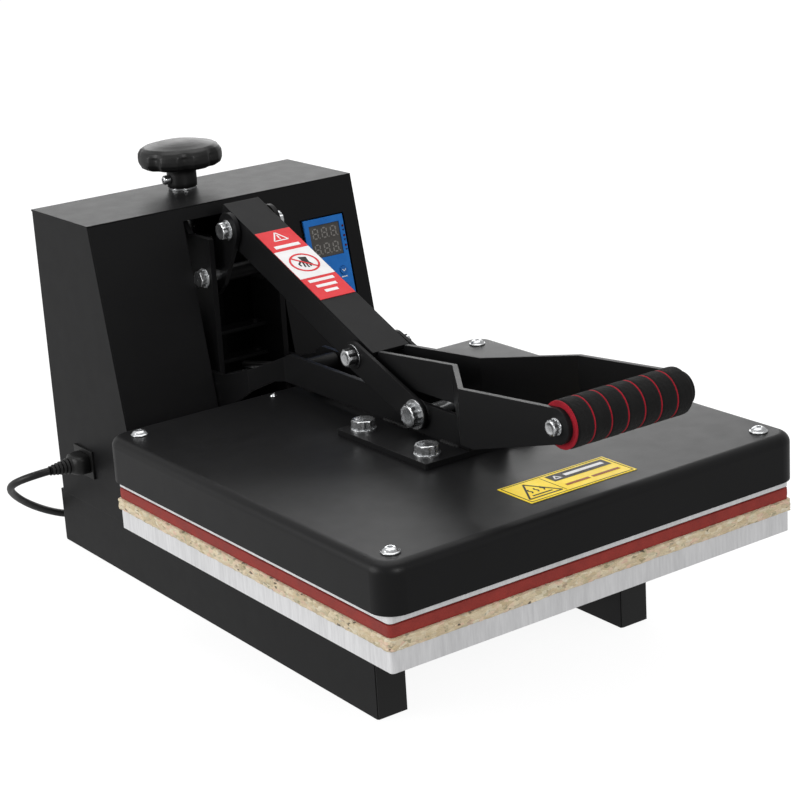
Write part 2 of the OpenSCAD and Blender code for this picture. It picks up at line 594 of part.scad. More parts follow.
module grip_core() color([0.7, 0.71, 0.73]) {
  rod(-grip_half, grip_half, grip_y, grip_z, core_r);
  both() {
    rod(grip_half, grip_half + hand_t + 1.2, grip_y, grip_z, 4);
    rod(grip_half + hand_t, grip_half + hand_t + 1.2, grip_y, grip_z, 6.2);
    hex(grip_half + hand_t + 1.2, grip_half + hand_t + 5.4, grip_y, grip_z, 10);
  }
}
function ring_x(i) = (i - (ring_count - 1) / 2) * 2 * (grip_half - 1) / (ring_count + 1);
module grip_foam() color([0.04, 0.04, 0.04]) difference() {
  rod(-grip_half + 1.2, grip_half - 1.2, grip_y, grip_z, grip_r, 64);
  rod(-2 * grip_half, 2 * grip_half, grip_y, grip_z, core_r);
  for (i = [0:ring_count - 1]) difference() {
    rod(ring_x(i) - 1.2, ring_x(i) + 1.2, grip_y, grip_z, grip_r + 1);
    rod(ring_x(i) - 2, ring_x(i) + 2, grip_y, grip_z, grip_r - 1);
  }
}
module grip_rings() color([0.6, 0.05, 0.05]) {
  for (i = [0:ring_count - 1]) difference() {
    rod(ring_x(i) - 1.2, ring_x(i) + 1.2, grip_y, grip_z, grip_r);
    rod(ring_x(i) - 2, ring_x(i) + 2, grip_y, grip_z, grip_r - 1);
  }
  both() difference() {
    rod(grip_half - 1.2, grip_half, grip_y, grip_z, grip_r - 0.5);
    rod(grip_half - 3, grip_half + 3, grip_y, grip_z, core_r + 2);
  }
}

// ---------- toggle ----------
module toggle_plates() color([0.045, 0.045, 0.05]) both() {
  a = atan((elbow_z - knee_z) / (elbow_y - knee_y));
  l = norm([elbow_y - knee_y, elbow_z - knee_z]);
  difference() {
    translate([arm_x + 1, knee_y, knee_z]) rotate([90, 0, 90]) rotate(a) linear_extrude(3)
      difference() {
        union() {
          circle(washer_r + 2.5);
          translate([l, 0]) circle(washer_r + 2.5);
          translate([0, -washer_r - 2.5]) square([l, 2 * washer_r + 5]);
        }
        circle(bolt_r + run);
      }
  }
  rod(link_w / 2 + gap, arm_x + 1, elbow_y, elbow_z, bolt_r);
  difference() {
    rod(link_w / 2 + 0.5, arm_x + 1, elbow_y, elbow_z, washer_r + 1);
    rod(0, 60, elbow_y, elbow_z, bolt_r);
  }
  rod(arm_x + 4, arm_x + 5.5, elbow_y, elbow_z, washer_r);
  hex(arm_x + 5.5, arm_x + 11.9, elbow_y, elbow_z, nut_s);
}

// ---------- pressure adjuster ----------
module band(y0, z0, r0, y1, z1, r1) {
  inset = 0.03;
  d = norm([y1 - y0, z1 - z0]);
  translate([y0, z0]) rotate(atan2(z1 - z0, y1 - y0)) {
    s = (r0 - r1) / d;
    c = sqrt(1 - s * s);
    circle(r0);
    translate([d, 0]) circle(r1);
    polygon([[r0 * s, (r0 - inset) * c], [d + r1 * s, (r1 - inset) * c],
      [d + r1 * s, (inset - r1) * c], [r0 * s, (inset - r0) * c]]);
  }
}
module rocker_plates() color([0.045, 0.045, 0.05]) {
  difference() {
    union() {
      both() yz(link_w / 2 + 1, link_w / 2 + 5) {
        band(lever_y, lever_z, bolt_r + 10, rocker_y, rocker_z, bolt_r + 7);
        band(rocker_y, rocker_z, bolt_r + 7, screw_y + 2, block_z, 12);
      }
      rod(-link_w / 2 - 2, link_w / 2 + 2, rocker_y, rocker_z, bolt_r + 2);
    }
    rod(-up_in, up_in, rocker_y, rocker_z, bolt_r + run);
    both() rod(0, up_in, lever_y, lever_z, bolt_r + run);
    both() yz(0, up_in) slot2(screw_y, block_z, 3, 6.2);
  }
}
module link_pivot_bolt() color([0.75, 0.76, 0.78]) {
  rod(-link_w / 2 - 8, link_w / 2 + 8, lever_y, lever_z, bolt_r);
  both() difference() {
    union() {
      rod(link_w / 2 + 0.1, link_w / 2 + 0.9, lever_y, lever_z, washer_r - 1);
      rod(link_w / 2 + 5, link_w / 2 + 6.5, lever_y, lever_z, washer_r - 1.2);
      hex(link_w / 2 + 6.5, link_w / 2 + 12.9, lever_y, lever_z, nut_s);
    }
    rod(0, link_w / 2 + 8, lever_y, lever_z, bolt_r);
  }
}
module pressure_block() color([0.5, 0.5, 0.52]) {
  difference() {
    box([-link_w / 2, screw_y - 14, block_z - 14], [link_w / 2, screw_y + 14, block_z + 14]);
    translate([0, screw_y, 0]) cylinder(r = screw_r + run, h = 400);
  }
  both() rod(link_w / 2, link_w / 2 + 8, screw_y, block_z, 6);
}
module pressure_screw() color([0.72, 0.73, 0.75]) {
  zb = hous_z - sheet - 8;
  translate([0, screw_y, block_z - 24]) cylinder(r = screw_r, h = hous_z + 20 - block_z + 24);
  translate([0, screw_y, 0]) difference() {
    union() {
      translate([0, 0, zb - 6.3]) cylinder(r = screw_r + 4, h = 6);
      translate([0, 0, hous_z + 0.2]) cylinder(r = screw_r + 5, h = 1.8);
    }
    cylinder(r = screw_r, h = 400);
  }
  translate([-18, screw_y, hous_z + 10.6]) rotate([0, 90, 0]) {
    cylinder(r = 2.4, h = 5.7, $fn = 24);
    cylinder(r = 4, h = 3.6, $fn = 32);
  }
}
module pressure_knob() color([0.03, 0.03, 0.03]) translate([0, screw_y, hous_z + 2]) difference() {
  union() {
    cylinder(r = 13.6, h = 20);
    translate([0, 0, 19]) difference() {
      rotate_extrude() {
        square([knob_r - 7, 21]);
        translate([0, 7]) square([knob_r, 7]);
        for (z = [7, 14]) translate([knob_r - 7, z]) intersection() {
          circle(7);
          translate([0, -7]) square([7, 14]);
        }
      }
      for (i = [0:7]) rotate(i * 45 + 22.5) translate([knob_r + 6, 0, -1]) cylinder(r = 9, h = 24);
    }
    translate([0, 0, 39.9]) rotate_extrude() intersection() {
      translate([0, -98]) circle(101.4, $fn = 360);
      square([26, 4]);
    }
  }
  translate([0, 0, -1]) cylinder(r = screw_r + run, h = 19.5);
  translate([-18.5, 0, 8.6]) rotate([0, 90, 0]) cylinder(r = 2.5, h = 6.6, $fn = 24);
}

shift() base_tube_left();
shift() base_tube_right();
shift() tube_end_plugs();
shift() base_cross_bars();
shift() platen_supports();
shift() platen_standoffs();
shift() lower_platen();
shift() felt_pad();
shift() silicone_pad();
shift() uprights();
shift() frame_cross_plates();
shift() arm_pivot_shaft();
shift() rocker_pivot_bolt();
shift() housing_front();
shift() housing_top();
shift() housing_side_left();
shift() housing_side_right();
shift() housing_back();
shift() housing_screws();
shift() controller_bezel();
shift() controller_display();
shift() controller_case();
shift() indicator_leds();
shift() button_1();
shift() button_2();
shift() button_3();
shift() button_4();
shift() power_inlet();
shift() switch_frame();
shift() power_switch();
shift() fuse_holder();
shift() cord_connector();
shift() cord_cable();
shift() cord_coil();
shift() cord_plug();
shift() arm_sides();
shift() arm_cross_tube();
shift() mounting_plate();
shift() mounting_bolts();
shift() knee_bolt();
shift() top_cover();
shift() cover_screws();
shift() heater_plate();
shift() heating_element();
shift() insulation_board();
shift() hot_label();
shift() heater_lead();
shift() link_sides();
shift() link_top();
shift() link_label();
shift() handle_arms();
shift() grip_core();
shift() grip_foam();
shift() grip_rings();
shift() toggle_plates();
shift() rocker_plates();
shift() link_pivot_bolt();
shift() pressure_block();
shift() pressure_knob();
shift() pressure_screw();
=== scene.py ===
import json
import math
import bpy
import numpy as np
from mathutils import Matrix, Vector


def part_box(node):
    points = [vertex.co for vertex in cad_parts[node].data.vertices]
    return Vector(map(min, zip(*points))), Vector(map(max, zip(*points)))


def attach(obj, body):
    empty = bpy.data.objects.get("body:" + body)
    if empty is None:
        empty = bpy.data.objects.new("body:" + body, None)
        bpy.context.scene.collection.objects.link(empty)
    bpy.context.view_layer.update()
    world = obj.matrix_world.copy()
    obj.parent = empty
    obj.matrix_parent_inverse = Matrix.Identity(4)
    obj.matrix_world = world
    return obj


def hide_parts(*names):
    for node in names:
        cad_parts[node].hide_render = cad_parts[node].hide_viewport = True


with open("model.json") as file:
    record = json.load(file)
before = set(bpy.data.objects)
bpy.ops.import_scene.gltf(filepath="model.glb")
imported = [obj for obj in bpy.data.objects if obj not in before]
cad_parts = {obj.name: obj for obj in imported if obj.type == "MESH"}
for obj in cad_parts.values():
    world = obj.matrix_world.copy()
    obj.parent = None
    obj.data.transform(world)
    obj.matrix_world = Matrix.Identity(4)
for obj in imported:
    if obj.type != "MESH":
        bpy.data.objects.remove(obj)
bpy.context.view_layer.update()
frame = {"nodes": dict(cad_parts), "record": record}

nodes = frame["nodes"]
joints = {j["name"]: j for j in frame["record"]["behaviour"]["joints"]}
platenY = -94.25  # the row frame's y of the platen's centre, in mm


def spot(x, y, z):
    # a point given in mm from the platen's centre and the floor, in the row frame in metres
    return np.array([x, y + platenY, z]) / 1000


view = {"place": (-907.4, -1243.0, 695.9), "azimuth": -33.307, "elevation": 16.898,
        "roll": -4.063, "lens": 92.65, "shiftX": 0.0759, "shiftY": -0.0356}
az, el, roll = (math.radians(view[k]) for k in ("azimuth", "elevation", "roll"))
back = np.array([math.sin(az) * math.cos(el), -math.cos(az) * math.cos(el), math.sin(el)])
right = np.array([math.cos(az), math.sin(az), 0])
up = np.cross(back, right)
right, up = right * math.cos(roll) + up * math.sin(roll), up * math.cos(roll) - right * math.sin(roll)
cameraData = bpy.data.cameras.new("camera")
cameraData.lens = view["lens"]
cameraData.shift_x = view["shiftX"]
cameraData.shift_y = view["shiftY"]
cameraData.clip_end = 20
camera = bpy.data.objects.new("camera", cameraData)
camera.matrix_world = Matrix([[*r, p] for r, p in zip(np.stack([right, up, back], 1), spot(*view["place"]))]
                             + [[0, 0, 0, 1]])
bpy.context.collection.objects.link(camera)
bpy.context.scene.camera = camera
bpy.context.scene.view_settings.view_transform = "Standard"
print("camera set")


def addNode(tree, kind, links=None, **values):
    # a node with its settings and its inputs: a socket is linked, anything else is a value
    node = tree.nodes.new("ShaderNode" + kind)
    for key, value in values.items():
        setattr(node, key, value)
    for key, value in (links or {}).items():
        if isinstance(value, bpy.types.NodeSocket):
            tree.links.new(value, node.inputs[key])
        else:
            node.inputs[key].default_value = value
    return node


def noise(tree, place, scale, detail=3.0, rough=0.55):
    return addNode(tree, "TexNoise", {"Vector": place, "Scale": scale, "Detail": detail,
                                      "Roughness": rough}).outputs["Fac"]


def ramp(tree, factor, stops):
    node = addNode(tree, "ValToRGB", {"Fac": factor})
    while len(node.color_ramp.elements) < len(stops):
        node.color_ramp.elements.new(0.5)
    for element, (place, colour) in zip(node.color_ramp.elements, stops):
        element.position = place
        element.color = (*colour, 1) if len(colour) == 3 else colour
    return node.outputs["Color"]


def mapRange(tree, value, a, b, c, d):
    return addNode(tree, "MapRange", {"Value": value, "From Min": a, "From Max": b,
                                      "To Min": c, "To Max": d}).outputs["Result"]


def blendColour(tree, factor, a, b, mode="MIX"):
    node = addNode(tree, "Mix", data_type="RGBA", blend_type=mode)
    for index, value in ((0, factor), (6, a), (7, b)):
        if isinstance(value, bpy.types.NodeSocket):
            tree.links.new(value, node.inputs[index])
        else:
            node.inputs[index].default_value = value if index == 0 else (*value, 1)
    return node.outputs[2]


def startMaterial(name, stretch=(1, 1, 1)):
    material = bpy.data.materials.new(name)
    material.use_nodes = True
    tree = material.node_tree
    shader = tree.nodes["Principled BSDF"]
    coords = addNode(tree, "TexCoord").outputs["Object"]
    place = addNode(tree, "Mapping", {"Vector": coords, "Scale": stretch}).outputs["Vector"]
    return material, tree, shader, place


def relief(tree, shader, heights, edge=0.0006):
    # bumps on top of a softly rounded edge: each height is (factor socket, depth in metres)
    normal = addNode(tree, "Bevel", {"Radius": edge}, samples=4).outputs["Normal"]
    for height, depth in heights:
        normal = addNode(tree, "Bump", {"Height": height, "Distance": depth, "Strength": 1.0,
                                        "Normal": normal}).outputs["Normal"]
    tree.links.new(normal, shader.inputs["Normal"])


def edgeWear(tree, radius, low, high):
    # how far the rounded normal turns away from the flat one, broken up by noise: 1 on worn edges
    rounded = addNode(tree, "Bevel", {"Radius": radius}, samples=4).outputs["Normal"]
    flat = addNode(tree, "NewGeometry").outputs["Normal"]
    facing = addNode(tree, "VectorMath", {0: rounded, 1: flat}, operation="DOT_PRODUCT").outputs["Value"]
    return mapRange(tree, facing, low, high, 1.0, 0.0)


paints = {
    "powderBlack": {"dark": (0.0038, 0.0038, 0.0042), "light": (0.0060, 0.0060, 0.0064), "grain": 1300, "shine": 0.15,
                    "depth": 0.00006, "rough": (0.42, 0.46), "edge": 0.0007, "wear": (0.030, 0.030, 0.031)},
    "coverBlack": {"dark": (0.0040, 0.0040, 0.0044), "light": (0.0064, 0.0064, 0.0068), "grain": 900, "shine": 0.20,
                   "depth": 0.00003, "rough": (0.37, 0.41), "edge": 0.0010, "wear": (0.016, 0.016, 0.017)},
    "moulding": {"dark": (0.0046, 0.0046, 0.0046), "light": (0.0080, 0.0080, 0.0080), "grain": 700, "shine": 0.35,
                 "depth": 0.00003, "rough": (0.34, 0.44), "edge": 0.0009, "wear": (0.014, 0.014, 0.014)},
    "darkScrew": {"dark": (0.012, 0.012, 0.013), "light": (0.03, 0.03, 0.032), "grain": 600, "shine": 0.5,
                  "depth": 0.00003, "rough": (0.3, 0.45), "edge": 0.0005, "wear": (0.16, 0.16, 0.16)},
}


def paintMaterial(name, dark, light, grain, depth, rough, edge, wear, shine):
    material, tree, shader, place = startMaterial(name)
    shader.inputs["Specular IOR Level"].default_value = shine
    cloudy = noise(tree, place, 9, 4)
    fine = noise(tree, place, grain, 2, 0.5)
    tone = blendColour(tree, mapRange(tree, cloudy, 0.2, 0.8, 0, 1), dark, light)
    worn = edgeWear(tree, edge, 0.80, 0.985)
    broken = mapRange(tree, noise(tree, place, 160, 4, 0.7), 0.45, 0.7, 0.0, 0.6)
    mask = addNode(tree, "Math", {0: worn, 1: broken}, operation="MULTIPLY").outputs["Value"]
    dust = mapRange(tree, noise(tree, place, 420, 2, 0.5), 0.68, 0.78, 0.0, 0.35)
    tone = blendColour(tree, dust, tone, tuple(2.2 * c for c in light))
    tree.links.new(blendColour(tree, mask, tone, wear), shader.inputs["Base Color"])
    tree.links.new(mapRange(tree, noise(tree, place, 60, 4), 0.3, 0.7, *rough), shader.inputs["Roughness"])
    relief(tree, shader, [(fine, depth)], edge)
    return material


metals = {
    "zinc": {"dark": (0.50, 0.51, 0.52), "light": (0.78, 0.79, 0.80), "stretch": (1, 1, 1), "stain": 0.35,
             "grain": 260, "depth": 0.000003, "rough": (0.14, 0.30), "edge": 0.0005},
    "aluminium": {"dark": (0.76, 0.76, 0.77), "light": (0.90, 0.90, 0.91), "stretch": (1, 1, 0.10), "stain": 0.35,
                  "grain": 420, "depth": 0.000012, "rough": (0.40, 0.52), "edge": 0.0006, "metallic": 0.62},
    "steel": {"dark": (0.24, 0.24, 0.25), "light": (0.38, 0.38, 0.39), "stretch": (1, 1, 0.2), "stain": 0.4,
              "grain": 500, "depth": 0.00001, "rough": (0.3, 0.45), "edge": 0.0005},
    "element": {"dark": (0.14, 0.12, 0.10), "light": (0.32, 0.29, 0.25), "stretch": (1, 1, 1), "stain": 0.4,
                "grain": 500, "depth": 0.00002, "rough": (0.45, 0.6), "edge": 0.0003},
}


def metalMaterial(name, dark, light, stretch, stain, grain, depth, rough, edge, metallic=0.95):
    material, tree, shader, place = startMaterial(name, stretch)
    shader.inputs["Metallic"].default_value = metallic
    streak = noise(tree, place, grain, 4, 0.65)
    cloudy = noise(tree, place, 34, 5, 0.65)
    tone = blendColour(tree, mapRange(tree, streak, 0.3, 0.7, 0, 1), dark, light)
    tone = blendColour(tree, mapRange(tree, cloudy, 0.48, 0.78, 0.0, stain), tone, tuple(0.55 * c for c in dark))
    tree.links.new(tone, shader.inputs["Base Color"])
    tree.links.new(mapRange(tree, streak, 0.25, 0.75, *rough), shader.inputs["Roughness"])
    relief(tree, shader, [(streak, depth)], edge)
    return material


def feltMaterial():
    # crumbs of foam pressed together: cells of three sizes, mostly tan, some pink, green or dark
    material, tree, shader, place = startMaterial("rebondedFelt", (1, 1, 1.9))
    warped = addNode(tree, "TexNoise", {"Vector": place, "Scale": 160.0, "Detail": 2.0}).outputs["Color"]
    offset = addNode(tree, "VectorMath", {0: warped, 1: (0.006, 0.006, 0.006)}, operation="MULTIPLY").outputs["Vector"]
    place = addNode(tree, "VectorMath", {0: place, 1: offset}, operation="ADD").outputs["Vector"]
    crumb = addNode(tree, "TexVoronoi", {"Vector": place, "Scale": 210.0, "Randomness": 1.0})
    split = addNode(tree, "SeparateColor", {"Color": crumb.outputs["Color"]})
    base = ramp(tree, split.outputs["Red"], [
        (0.0, (0.62, 0.49, 0.30)), (0.25, (0.72, 0.60, 0.40)), (0.50, (0.82, 0.71, 0.50)),
        (0.66, (0.80, 0.56, 0.42)), (0.78, (0.56, 0.50, 0.31)), (0.90, (0.86, 0.78, 0.60)), (1.0, (0.70, 0.56, 0.36))])
    fleck = addNode(tree, "TexVoronoi", {"Vector": place, "Scale": 150.0, "Randomness": 1.0})
    chosen = addNode(tree, "SeparateColor", {"Color": fleck.outputs["Color"]}).outputs["Green"]
    near = mapRange(tree, fleck.outputs["Distance"], 0.22, 0.34, 1.0, 0.0)
    dark = addNode(tree, "Math", {0: mapRange(tree, chosen, 0.80, 0.83, 0, 0.95), 1: near},
                   operation="MULTIPLY").outputs["Value"]
    tone = blendColour(tree, dark, base, (0.022, 0.017, 0.013))
    green = addNode(tree, "Math", {0: mapRange(tree, split.outputs["Blue"], 0.88, 0.91, 0, 0.7),
                                   1: mapRange(tree, noise(tree, place, 300), 0.4, 0.6, 0, 1)},
                    operation="MULTIPLY").outputs["Value"]
    tone = blendColour(tree, green, tone, (0.17, 0.17, 0.09))
    fuzz = noise(tree, place, 1500, 3, 0.7)
    tone = blendColour(tree, mapRange(tree, fuzz, 0.3, 0.75, 0.25, 0.0), tone, (0.46, 0.34, 0.20))
    tree.links.new(tone, shader.inputs["Base Color"])
    shader.inputs["Roughness"].default_value = 0.95
    shader.inputs["Sheen Weight"].default_value = 0.3
    shader.inputs["Sheen Roughness"].default_value = 0.5
    relief(tree, shader, [(crumb.outputs["Distance"], -0.0009), (fuzz, 0.0003)], 0.0004)
    return material


softs = {
    "redSilicone": {"dark": (0.24, 0.026, 0.020), "light": (0.33, 0.038, 0.029), "grain": 1100, "shine": 0.3,
                    "depth": 0.00008, "rough": (0.5, 0.68), "sheen": 0.03},
    "blackFoam": {"dark": (0.0042, 0.0040, 0.0040), "light": (0.0105, 0.0100, 0.0100), "grain": 2200, "shine": 0.2,
                  "depth": 0.00025, "rough": (0.82, 0.95), "sheen": 0.03},
    "redFoam": {"dark": (0.27, 0.006, 0.016), "light": (0.42, 0.012, 0.026), "grain": 2200, "shine": 0.2,
                "depth": 0.00022, "rough": (0.7, 0.9), "sheen": 0.03},
    "sheath": {"dark": (0.0048, 0.0048, 0.0048), "light": (0.0085, 0.0085, 0.0085), "grain": 500, "shine": 0.35,
               "depth": 0.00003, "rough": (0.34, 0.46), "sheen": 0.0},
}


def softMaterial(name, dark, light, grain, depth, rough, sheen, shine):
    material, tree, shader, place = startMaterial(name)
    shader.inputs["Specular IOR Level"].default_value = shine
    pores = addNode(tree, "TexVoronoi", {"Vector": place, "Scale": float(grain)}).outputs["Distance"]
    cloudy = noise(tree, place, 70, 4)
    tone = blendColour(tree, mapRange(tree, cloudy, 0.3, 0.7, 0, 1), dark, light)
    tone = blendColour(tree, mapRange(tree, pores, 0.0, 0.5, 0.55, 0.0), tone, tuple(0.4 * c for c in dark))
    tree.links.new(tone, shader.inputs["Base Color"])
    tree.links.new(mapRange(tree, cloudy, 0.3, 0.7, *rough), shader.inputs["Roughness"])
    shader.inputs["Sheen Weight"].default_value = sheen
    shader.inputs["Sheen Roughness"].default_value = 0.4
    relief(tree, shader, [(pores, depth), (noise(tree, place, 130, 3), depth * 2)], 0.0004)
    return material


prints = {
    "bluePanel": {"dark": (0.012, 0.135, 0.47), "light": (0.018, 0.17, 0.55), "rough": (0.28, 0.42)},
    "paleInk": {"dark": (0.66, 0.70, 0.74), "light": (0.78, 0.80, 0.82), "rough": (0.4, 0.5)},
    "navyInk": {"dark": (0.006, 0.012, 0.05), "light": (0.012, 0.02, 0.08), "rough": (0.4, 0.5)},
    "displayGrey": {"dark": (0.062, 0.058, 0.054), "light": (0.082, 0.078, 0.072), "rough": (0.2, 0.3)},
    "segmentGrey": {"dark": (0.20, 0.19, 0.18), "light": (0.25, 0.24, 0.225), "rough": (0.3, 0.4)},
    "labelRed": {"dark": (0.62, 0.022, 0.030), "light": (0.70, 0.035, 0.042), "rough": (0.34, 0.46)},
    "labelWhite": {"dark": (0.74, 0.73, 0.73), "light": (0.84, 0.83, 0.83), "rough": (0.34, 0.46)},
    "labelYellow": {"dark": (0.90, 0.64, 0.024), "light": (0.96, 0.74, 0.040), "rough": (0.32, 0.46)},
    "labelBrown": {"dark": (0.24, 0.055, 0.010), "light": (0.34, 0.085, 0.016), "rough": (0.4, 0.5)},
    "labelBlack": {"dark": (0.012, 0.012, 0.011), "light": (0.022, 0.021, 0.02), "rough": (0.4, 0.5)},
    "keyBlue": {"dark": (0.010, 0.105, 0.37), "light": (0.014, 0.13, 0.43), "rough": (0.4, 0.55)},
    "lensRed": {"dark": (0.07, 0.006, 0.008), "light": (0.12, 0.010, 0.012), "rough": (0.12, 0.22)},
    "fibreBoard": {"dark": (0.56, 0.52, 0.42), "light": (0.74, 0.71, 0.62), "rough": (0.85, 0.95)},
}


def printMaterial(name, dark, light, rough):
    material, tree, shader, place = startMaterial(name)
    shader.inputs["Specular IOR Level"].default_value = 0.2
    cloudy = noise(tree, place, 55, 5, 0.6)
    tree.links.new(blendColour(tree, mapRange(tree, cloudy, 0.3, 0.7, 0, 1), dark, light), shader.inputs["Base Color"])
    tree.links.new(mapRange(tree, noise(tree, place, 240, 3), 0.3, 0.7, *rough), shader.inputs["Roughness"])
    relief(tree, shader, [(noise(tree, place, 800, 2), 0.00003)], 0.0003)
    return material


materials = {name: paintMaterial(name, **p) for name, p in paints.items()}
materials.update({name: metalMaterial(name, **p) for name, p in metals.items()})
materials.update({name: softMaterial(name, **p) for name, p in softs.items()})
materials.update({name: printMaterial(name, **p) for name, p in prints.items()})
materials["felt"] = feltMaterial()
print("materials made:", len(materials))

finishes = {
    "powderBlack": "black_paint", "coverBlack": "cover_paint", "moulding": "black_plastic",
    "darkScrew": "dark_screws", "zinc": "zinc_steel", "aluminium": "platen_aluminium",
    "steel": "block_steel", "element": "element_sheath", "felt": "felt",
    "redSilicone": "red_silicone", "blackFoam": "black_foam", "redFoam": "red_rings",
    "sheath": "cord_sheath", "bluePanel": "blue_panel", "displayGrey": "display_window",
    "lensRed": "leds", "keyBlue": "button_caps", "labelRed": "red_label",
    "labelYellow": "yellow_label", "fibreBoard": "fibre_board",
}
slotMaterial = {slot: name for name, slot in finishes.items()}
slotMaterial["switch_red"] = "lensRed"
for part in frame["record"]["subparts"]:
    cad = nodes[part["node"]]
    cad.data.materials.clear()
    cad.data.materials.append(materials[slotMaterial[part["material_slot"]]])
print("finishes given to", len(nodes), "nodes")


def newPiece(name, points, faces, finish, body, smooth=40):
    # a mesh from arrays, in metres in the row frame, riding on a body
    mesh = bpy.data.meshes.new(name)
    mesh.from_pydata(np.asarray(points, float).tolist(), [], [list(map(int, f)) for f in faces])
    mesh.validate()
    mesh.materials.append(materials[finish])
    piece = bpy.data.objects.new(name, mesh)
    bpy.context.collection.objects.link(piece)
    mesh.polygons.foreach_set("use_smooth", np.ones(len(mesh.polygons), bool))
    mesh.set_sharp_from_angle(angle=math.radians(smooth))
    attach(piece, body)
    return piece


def gridFaces(rows, columns, wrap=True):
    # quads between the rows of a grid; each row closes on itself where wrap is set
    r, c = np.meshgrid(np.arange(rows - 1), np.arange(columns if wrap else columns - 1), indexing="ij")
    r, c = r.ravel(), c.ravel()
    d = (c + 1) % columns
    return np.stack([r * columns + c, r * columns + d, (r + 1) * columns + d, (r + 1) * columns + c], 1)


def closedStack(rings):
    # rings (rows, columns, 3) stacked along their axis, with a fan of triangles closing each end
    rows, columns = rings.shape[:2]
    points = np.concatenate([rings.reshape(-1, 3), rings[:1].mean(1), rings[-1:].mean(1)])
    faces = gridFaces(rows, columns).tolist()
    first, last = rows * columns, rows * columns + 1
    faces += [[first, (k + 1) % columns, k] for k in range(columns)]
    top = (rows - 1) * columns
    faces += [[last, top + k, top + (k + 1) % columns] for k in range(columns)]
    return points, faces


def axes(direction, side=None):
    # two unit vectors square to a direction, turning right-handed round it
    w = np.asarray(direction, float) / np.linalg.norm(direction)
    u = np.asarray(side if side is not None else ((0, 0, 1) if abs(w[2]) < 0.9 else (1, 0, 0)), float)
    u = u - w * (u @ w)
    u /= np.linalg.norm(u)
    return u, np.cross(w, u), w


def sweepTube(path, radius, sides):
    # a circle carried along the path, its frame turned as little as possible from point to point
    path = np.asarray(path, float)
    tangent = np.gradient(path, axis=0)
    tangent /= np.linalg.norm(tangent, axis=1)[:, None]
    side = np.cross([0, 0, 1], tangent)
    side /= np.linalg.norm(side, axis=1)[:, None]
    lift = np.cross(tangent, side)
    angle = np.arange(sides) * 2 * math.pi / sides
    radius = np.broadcast_to(np.asarray(radius, float), len(path))
    rings = path[:, None] + radius[:, None, None] * (np.cos(angle)[None, :, None] * side[:, None]
                                                     + np.sin(angle)[None, :, None] * lift[:, None])
    return closedStack(rings)


def smoothLine(points, step, rounds=6):
    # a Catmull-Rom line through the points, even steps along it, then each point but the ends
    # moves halfway to the middle of its neighbours, a few times over
    points = np.asarray(points, float)
    ends = np.concatenate([[2 * points[0] - points[1]], points, [2 * points[-1] - points[-2]]])
    t = np.linspace(0, 1, 24, endpoint=False)[None, :, None]
    a, b, c, d = (ends[i:len(ends) - 3 + i, None] for i in range(4))
    fine = 0.5 * (2 * b + (c - a) * t + (2 * a - 5 * b + 4 * c - d) * t ** 2
                  + (3 * b - a - 3 * c + d) * t ** 3)
    fine = np.concatenate([fine.reshape(-1, 3), points[-1:]])
    run = np.concatenate([[0], np.cumsum(np.linalg.norm(np.diff(fine, axis=0), axis=1))])
    at = np.linspace(0, run[-1], int(run[-1] / step) + 2)
    line = np.stack([np.interp(at, run, fine[:, k]) for k in range(3)], 1)
    for _ in range(rounds):
        line[1:-1] = line[1:-1] / 2 + (line[2:] + line[:-2]) / 4
    return line


def ease(x, a, b):
    t = np.clip((x - a) / (b - a), 0, 1)
    return t * t * (3 - 2 * t)


cordFacts = {"radius": 3.5, "coilCentre": (-24, 486), "coilRadius": 46, "pitch": 7.1, "sides": 14, "step": 3.5}
route = [(-173.1, 356, 94), (-177.6, 356.5, 93.9), (-183.5, 360.4, 92), (-191.9, 367.3, 88.8),
         (-196.5, 376.8, 84.1), (-197.2, 386.8, 78.6), (-195, 396.5, 72.8), (-190.9, 405.3, 66.6),
         (-185.6, 413.4, 60.3), (-179.4, 420.7, 53.9), (-172.6, 427.3, 47.4), (-165.2, 433.4, 41),
         (-157.2, 438.9, 34.7), (-148.8, 443.8, 28.6), (-139.7, 447.9, 22.7), (-130.2, 451.1, 17.2),
         (-119.9, 453.3, 12.3), (-109.1, 454, 8.4), (-98, 453, 5.7), (-86.8, 450.6, 4.3), (-75.7, 447.4, 3.7),
         (-64.6, 444.3, 3.5), (-53.4, 441.8, 3.5), (-42, 440, 3.5)]


def cordPath():
    # the free run, then turns that step inwards, up, outwards and up again, clear of each other
    f = cordFacts
    deg = np.arange(0, 1441, 4.0)
    inner = f["pitch"]
    r = f["coilRadius"] - inner * ease(deg, 300, 360) + inner * ease(deg, 880, 940)
    z = f["radius"] + f["pitch"] * (ease(deg, 580, 640) + ease(deg, 1180, 1240))
    a = np.radians(deg - 90)
    coil = np.stack([f["coilCentre"][0] + r * np.cos(a), f["coilCentre"][1] + r * np.sin(a), z], 1)
    tail = np.array([(-16, 440, 17.4), (-8, 440, 16.9), (0, 440, 16.0)])
    line = smoothLine(np.concatenate([route, coil[::3], tail]), f["step"])
    return (line + [0, platenY, 0]) / 1000


path = cordPath()
cord = newPiece("mainsCord", *sweepTube(path, cordFacts["radius"] / 1000, cordFacts["sides"]), "sheath", "base", 60)
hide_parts("cord_cable", "cord_coil")


plugForm = {"sides": 40}


